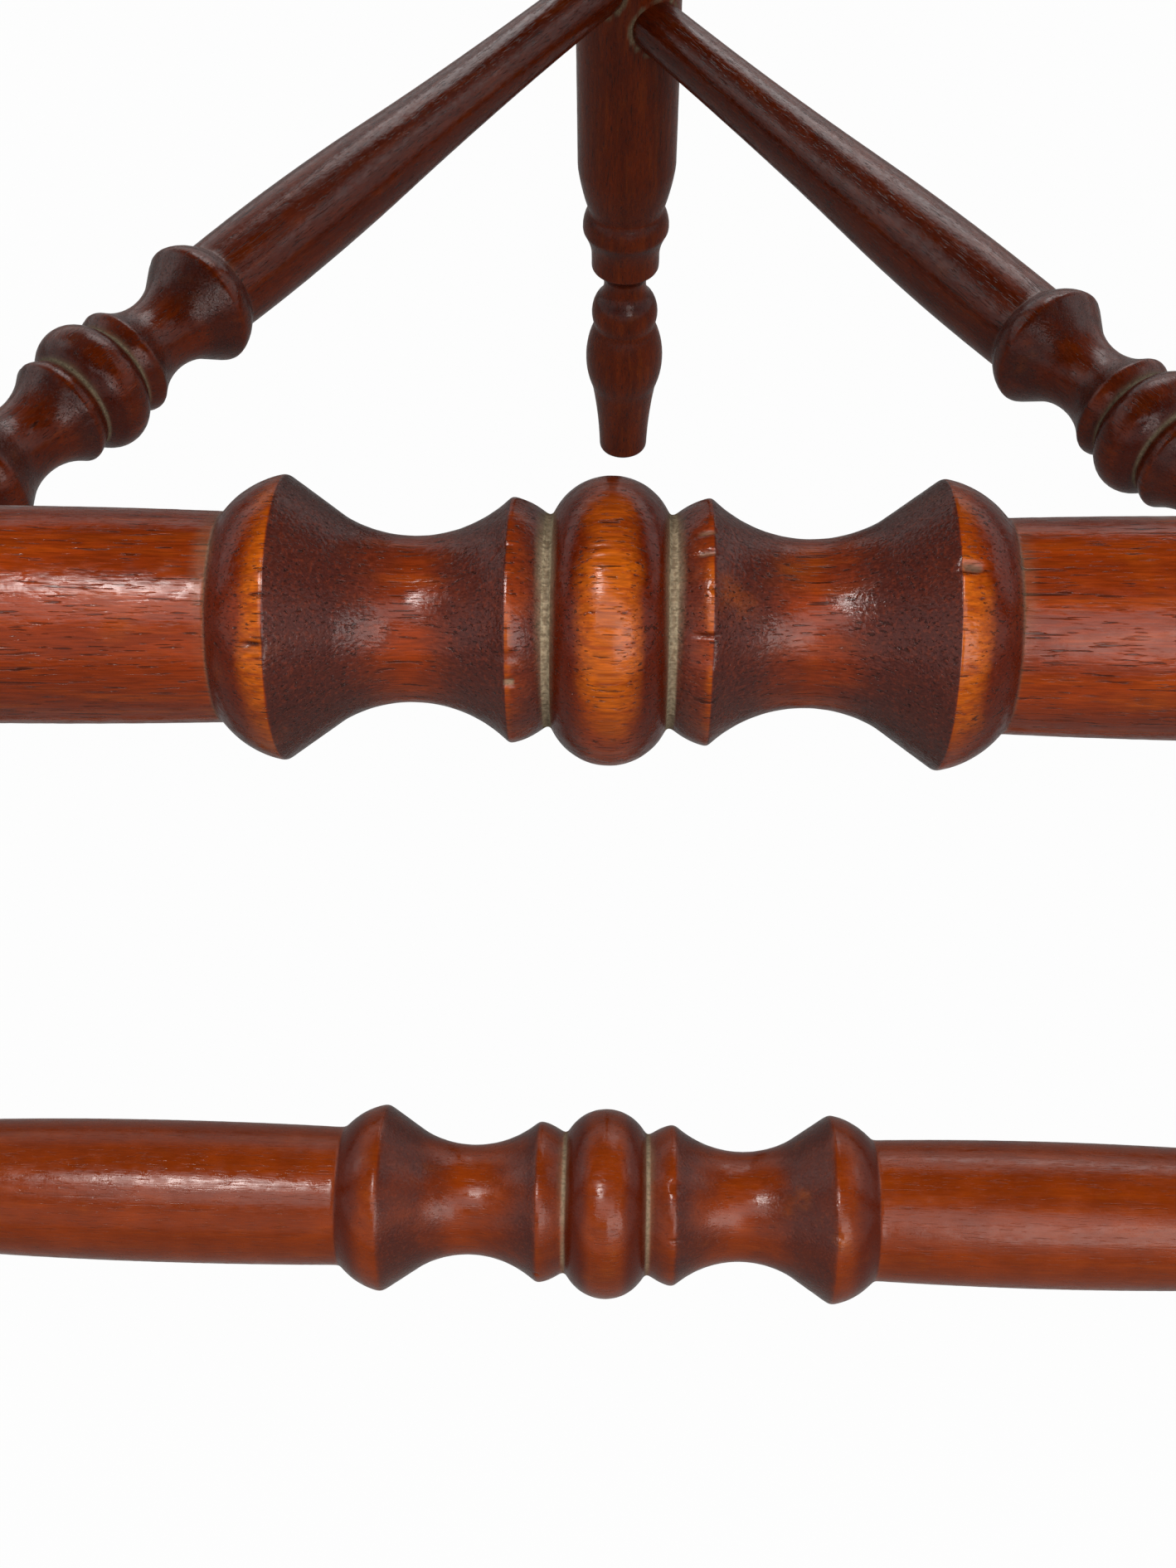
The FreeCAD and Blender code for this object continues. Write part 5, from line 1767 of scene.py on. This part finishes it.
@dataclass(frozen=True)
class RushSeat(Assembly):
    """The woven seat: cords over each rail, square to it, that dive where they meet between the corners."""

    cord: float = 5.4 * MM
    columns_per_cord: int = 6
    rail_reach: float = 16.88 * MM
    edge: float = 13.8 * MM
    round_over: float = 12.0 * MM
    dive: float = 5.0 * MM
    dive_length: float = 9.0 * MM
    sag: float = 4.0 * MM
    sag_reach: float = 80.0 * MM
    run_points: int = 14
    round_points: int = 6
    seam_gap: float = 0.15 * MM
    seam_share: float = 0.45
    # Just under 2, so that the sides of a cord aren't quite upright where it meets the next
    roundness: float = 1.9
    # A cord's side counts as hollow from the second share of its depth, and gains by the first. The hollows
    # are painted shade
    hollow_gain: float = 1.1
    hollow_start: float = 0.25
    numbers_apart: int = 200
    pad_clear: float = 12.0 * MM
    pad_thick: float = 27.0 * MM
    pad_points: int = 96
    pad_loops: int = 14
    pad_hole: float = 0.02
    pad_corner_power: int = 9

    def section(self) -> tuple[np.ndarray, ...]:
        """A cord's loop in a plane square to its rail: over the rail, round its edge and back under it.

        Returns:
            Share of the run to the seam, reach past that run, fall from the top, sine of the turn outwards,
            and side, which is 1 above and -1 below, for each point.
        """
        inside = np.linspace(1, 0, self.run_points)
        quarter = np.linspace(0, np.pi / 2, self.round_points)[1:]
        turn = np.concatenate([0 * inside, np.sin(quarter)])
        fall = np.concatenate([0 * inside, self.round_over * (1 - np.cos(quarter))])
        parts = (np.concatenate([inside, 0 * quarter]), -self.round_over * turn, fall, turn)
        return *(np.concatenate([part, part[::-1]]) for part in parts), np.repeat((1.0, -1.0), len(turn))

    def sector(self, start: np.ndarray, end: np.ndarray, third: np.ndarray,
               first_cord: int) -> dict[str, np.ndarray]:
        """Loops of the cords that pass over one rail, one loop for each column of points across the cords.

        Along a cord the loop goes from the bisector out over the rail, round its edge, back under it, and up
        again inside. Across the cords the skin sinks by a circle's depth from each cord's middle to its side.

        Args:
            start: the rail's first leg axis, on the floor.
            end: its second leg axis.
            third: the leg axis across the seat.
            first_cord: number of the first cord.

        Returns:
            Points, strand coordinates and hollows, which are painted shade, each with one row for each column
            across the cords.
        """
        low, high = (corner[2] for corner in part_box("rush_seat"))
        run = np.linalg.norm(end - start)
        way = (end - start) / run
        inward = np.cross(UP, way)
        inward *= np.sign(inward @ (third - start))
        to_third = [(third - corner) / np.linalg.norm(third - corner) for corner in (start, end)]
        half_tan = [np.tan(np.arccos(np.clip(d @ w, -1, 1)) / 2) for d, w in zip(to_third, (way, -way))]
        length = run - 2 * self.rail_reach
        cords = int(round(length / self.cord))
        columns = np.linspace(0, cords, cords * self.columns_per_cord + 1)
        along_rail = self.rail_reach + columns / cords * length
        inner = np.minimum(along_rail * half_tan[0], (run - along_rail) * half_tan[1]) - self.seam_gap
        inner = inner[:, None]
        number = np.minimum(np.floor(columns), cords - 1)
        across = columns - number - 0.5
        sunk = (self.cord / 2 * (1 - np.sqrt(1 - (self.roundness * across) ** 2)))[:, None]
        share, out, fall, turn, side = self.section()
        outer = self.round_over - self.edge
        reach = outer + share * (inner - outer) + out
        from_seam = np.abs(inner - reach)
        dive = self.dive * np.exp(-((from_seam / self.dive_length) ** 2))
        sag = self.sag * np.clip(reach / self.sag_reach, 0, 1) ** 2
        level = side * ((high - low) / 2 - fall - dive - sag) - side * sunk * np.sqrt(1 - turn**2)
        reach = reach + sunk * turn
        points = (
            start + along_rail[:, None, None] * way + reach[..., None] * inward
            + ((low + high) / 2 + level)[..., None] * UP
        )
        steps = np.linalg.norm(np.diff(points, axis=1), axis=-1)
        path = np.concatenate([np.zeros((len(columns), 1)), np.cumsum(steps, 1)], 1)
        strand = np.stack([path, across[:, None] + 0 * path, number[:, None] + first_cord + 0 * path], -1)
        # Painted shade: the hollows between cords and along the seams where they dive
        seam = np.exp(-((from_seam / (self.seam_share * self.dive_length)) ** 2))
        gap = np.clip(sunk / (self.cord / 2) * self.hollow_gain - self.hollow_start, 0, 1)
        return {"points": points, "strand": strand, "hollow": np.clip(gap + seam, 0, 1)}

    def weave(self) -> Piece:
        """Build the three sectors of cords as one piece.

        Returns:
            The new object.
        """
        corners = [self.plan.left, self.plan.right, self.plan.rear]
        turns = [np.roll(corners, -first, 0) for first in range(3)]
        sectors = [self.sector(*turn, self.numbers_apart * first) for first, turn in enumerate(turns)]
        return loft_piece("woven_rush_seat", *sectors)

    def pad(self) -> Piece:
        """Build the stuffing: a crowned pad between the rails.

        In plan it is a rounded triangle: at each bearing from the seat's middle, the reach to the nearest
        side, softly. Its top and underside fall to its rim as a fourth power of the share of that reach.

        Returns:
            The new object.
        """
        corners = [self.plan.left, self.plan.right, self.plan.rear]
        spans = np.array([np.linalg.norm(corners[(i + 2) % 3] - corners[(i + 1) % 3]) for i in range(3)])
        middle = sum(corner * span for corner, span in zip(corners, spans)) / spans.sum()
        bearing = np.linspace(0, 2 * np.pi, self.pad_points, endpoint=False)
        ways = np.stack([np.cos(bearing), np.sin(bearing), 0 * bearing], -1)
        nearness = np.zeros_like(bearing)
        for index in range(3):
            start, end = corners[index], corners[(index + 1) % 3]
            square = np.cross((end - start) / np.linalg.norm(end - start), UP)
            away = (start - middle) @ square - self.pad_clear
            nearness += np.maximum(ways @ square / away, 0) ** self.pad_corner_power
        reach = nearness ** (-1 / self.pad_corner_power)
        low, high = (corner[2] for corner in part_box("seat_stuffing"))
        top = np.linspace(self.pad_hole, 1, self.pad_loops)
        share = np.concatenate([top, top[-2::-1]])
        side = np.concatenate([0 * top + 1, 0 * top[1:] - 1])
        crown = side * self.pad_thick / 2 * np.sqrt(np.maximum(1 - share**4, 0))
        flat = middle + (share[:, None] * reach)[..., None] * ways
        points = flat + ((low + high) / 2 - self.sag / 2 + crown)[:, None, None] * UP
        return loft_piece("straw_pad", {"points": points})

    def build(self) -> None:
        """Build and dress the seat, its stuffing and the rails that it is woven round."""
        dress(self.weave(), self.finishes.rush, Slot.RUSH, "rush_seat")
        pad = dress(self.pad(), self.finishes.stuffing, Slot.STUFFING, "seat_stuffing")
        for node in ("front_seat_rail", "left_seat_rail", "right_seat_rail", "crest_dowels"):
            self.dress_node(node)

    def dress_node(self, node: str) -> None:
        """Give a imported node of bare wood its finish.

        Args:
            node: the node's name.
        """
        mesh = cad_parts[node].data
        mesh.materials.clear()
        mesh.materials.append(self.finishes.bare_wood)
        log.info("%s: packed node in bare wood", node)


# Studio


@dataclass(frozen=True)
class Softbox:
    """A rectangular lamp: where it hangs, what it is aimed at, its sides and its power."""

    name: str
    place: tuple[float, float, float]
    aim: tuple[float, float, float]
    sides: tuple[float, float]
    watts: float
    colour: str = "#ffffff"

    def hang(self) -> None:
        """Add the lamp."""
        lamp = bpy.data.lights.new(self.name, "AREA")
        lamp.shape = "RECTANGLE"
        lamp.size, lamp.size_y = self.sides
        lamp.energy = self.watts
        lamp.color = linear(self.colour)[:3]
        holder = bpy.data.objects.new(self.name, lamp)
        holder.location = self.place
        holder.rotation_euler = (Vector(self.aim) - Vector(self.place)).to_track_quat("-Z", "Y").to_euler()
        bpy.context.scene.collection.objects.link(holder)


@dataclass(frozen=True)
class Studio:
    """Pale floor, white surround, soft lamps and the camera of the picture."""

    floor_half: float = 12.0
    floor_colour: str = "#828280"
    floor_white: float = 0.98
    # The varnish shows less than a fifth of the floor's white, because the chair shades it there
    floor_glimpse: float = 0.18
    surround: float = 0.11
    ceiling: float = 0.25
    wall_limits: tuple[float, float] = (0.45, 0.6)
    white: str = "#ffffff"
    lamps: tuple[Softbox, ...] = (
        Softbox("overhead_softbox", (-0.34, -0.45, 1.5), (-0.03, -0.18, 0.25), (0.3, 0.26), 10.0, "#fff6f2"),
        Softbox("front_scrim", (0.0, -0.9, 1.28), (0.0, -0.18, 0.26), (1.1, 0.5), 5.5),
        Softbox("right_window", (0.55, -1.15, 0.9), (0.0, -0.15, 0.28), (0.8, 0.65), 8.5, "#fff8f4"),
        Softbox("left_fill", (-1.7, 0.5, 1.5), (0.0, 0.0, 0.45), (0.9, 0.9), 3.5),
        Softbox("right_fill", (1.7, 0.5, 1.5), (0.0, 0.0, 0.45), (0.9, 0.9), 3.5),
        Softbox("back_fill", (0.3, 1.9, 1.5), (0.0, 0.0, 0.5), (1.2, 1.0), 13.0),
    )
    frame_px: tuple[int, int] = (1418, 1891)
    focal_px: float = 2217.25
    middle_px: tuple[float, float] = (636.43, 922.66)
    eye: tuple[float, float, float] = (0.001648, -0.32087, 0.47012)
    pitch: float = np.radians(51.521)
    yaw: float = np.radians(-4.718)
    roll: float = np.radians(2.774)
    sensor_mm: float = 36.0
    near_clip: float = 0.01

    def seen_white(self, add: Adder, glimpse: float) -> Socket:
        """How much white a ray sees.

        Args:
            add: adds a node to the tree.
            glimpse: share for rays from a shiny or clear surface.

        Returns:
            1 for rays from the camera, the glimpse for those from shiny or clear surfaces, and else 0.
        """
        rays = ("Camera", "Glossy", "Transmission")
        camera, glossy, clear = (add("LightPath", out=f"Is {ray} Ray") for ray in rays)
        shiny = add("Math", (glossy, clear), operation="MAXIMUM")
        return add("Math", (add("Math", (shiny, glimpse), operation="MULTIPLY"), camera), operation="MAXIMUM")

    def lay_floor(self) -> None:
        """Lay a pale floor that is seen as white and keeps the chair's shadow."""
        corners = np.array([(-1, -1, 0), (1, -1, 0), (1, 1, 0), (-1, 1, 0)]) * self.floor_half
        mesh = bpy.data.meshes.new("floor")
        mesh.from_pydata(corners.tolist(), [], [(0, 1, 2, 3)])
        floor = bpy.data.objects.new("floor", mesh)
        bpy.context.scene.collection.objects.link(floor)
        material = bpy.data.materials.new("pale_painted_floor")
        material.use_nodes = True
        material.node_tree.nodes.clear()
        add = partial(add_node, material.node_tree)
        paint = add("BsdfDiffuse", {"Color": linear(self.floor_colour)})
        white = add("Emission", {"Color": linear(self.white), "Strength": 1.0})
        seen = self.seen_white(add, self.floor_glimpse)
        share = add("Math", (seen, self.floor_white), operation="MULTIPLY")
        add("OutputMaterial", {"Surface": add("MixShader", (share, paint, white))})
        mesh.materials.append(material)

    def paint_surround(self) -> None:
        """Paint the world: a white wall round the floor for the eye, a dim ceiling, and a soft even light."""
        world = bpy.data.worlds.new("white_surround")
        bpy.context.scene.world = world
        world.use_nodes = True
        tree = world.node_tree
        tree.nodes.clear()
        add = partial(add_node, tree)
        height = add("SeparateXYZ", (add("TexCoord", out="Generated"),), "Z")
        low, high = self.wall_limits
        rise = {"Value": height, "From Min": low, "From Max": high, "To Min": 1.0, "To Max": self.ceiling}
        seen = self.seen_white(add, 1.0)
        level = add("Mix", {"Factor": seen, "A": self.surround, "B": add("MapRange", rise)})
        sky = add("Background", {"Color": linear(self.white), "Strength": level})
        add("OutputWorld", {"Surface": sky})

    def set_camera(self) -> None:
        """Set the camera where the picture was taken from, with its focal length in the picture's pixels."""
        wide, tall = self.frame_px
        ahead = np.array([
            np.sin(self.yaw) * np.cos(self.pitch), np.cos(self.yaw) * np.cos(self.pitch), -np.sin(self.pitch)
        ])
        right = np.array([np.cos(self.yaw), -np.sin(self.yaw), 0.0])
        down = np.cross(ahead, right)
        turned = np.cos(self.roll) * right + np.sin(self.roll) * down
        dropped = -np.sin(self.roll) * right + np.cos(self.roll) * down
        data = bpy.data.cameras.new("photo_camera")
        data.sensor_width = self.sensor_mm
        data.lens = self.focal_px / tall * self.sensor_mm
        data.shift_x = (wide / 2 - self.middle_px[0]) / tall
        data.shift_y = (self.middle_px[1] - tall / 2) / tall
        data.clip_start = self.near_clip
        camera = bpy.data.objects.new("photo_camera", data)
        axes = np.stack([turned, -dropped, -ahead], -1)
        place = np.eye(4)
        place[:3, :3] = axes
        place[:3, 3] = self.eye
        camera.matrix_world = Matrix(place.tolist())
        bpy.context.scene.collection.objects.link(camera)
        bpy.context.scene.camera = camera

    def build(self) -> None:
        """Set up the floor, the surround, the lamps, the camera and the plain view."""
        self.lay_floor()
        self.paint_surround()
        for lamp in self.lamps:
            lamp.hang()
        self.set_camera()
        bpy.context.scene.view_settings.view_transform = "Standard"


def main() -> None:
    """Build every part of the chair in order, and the studio round it."""
    logging.basicConfig(level=logging.INFO)
    Studio().build()
    plan = Plan.read()
    finishes = Finishes.make()
    line = ArmLine.over(plan)
    assemblies: tuple[Assembly, ...] = (
        Stretchers(plan, finishes),
        Legs(plan, finishes),
        RushSeat(plan, finishes),
        Back(plan, finishes, line),
        Arms(plan, finishes, line),
    )
    for assembly in assemblies:
        assembly.build()


if __name__ == "__main__":
    main()
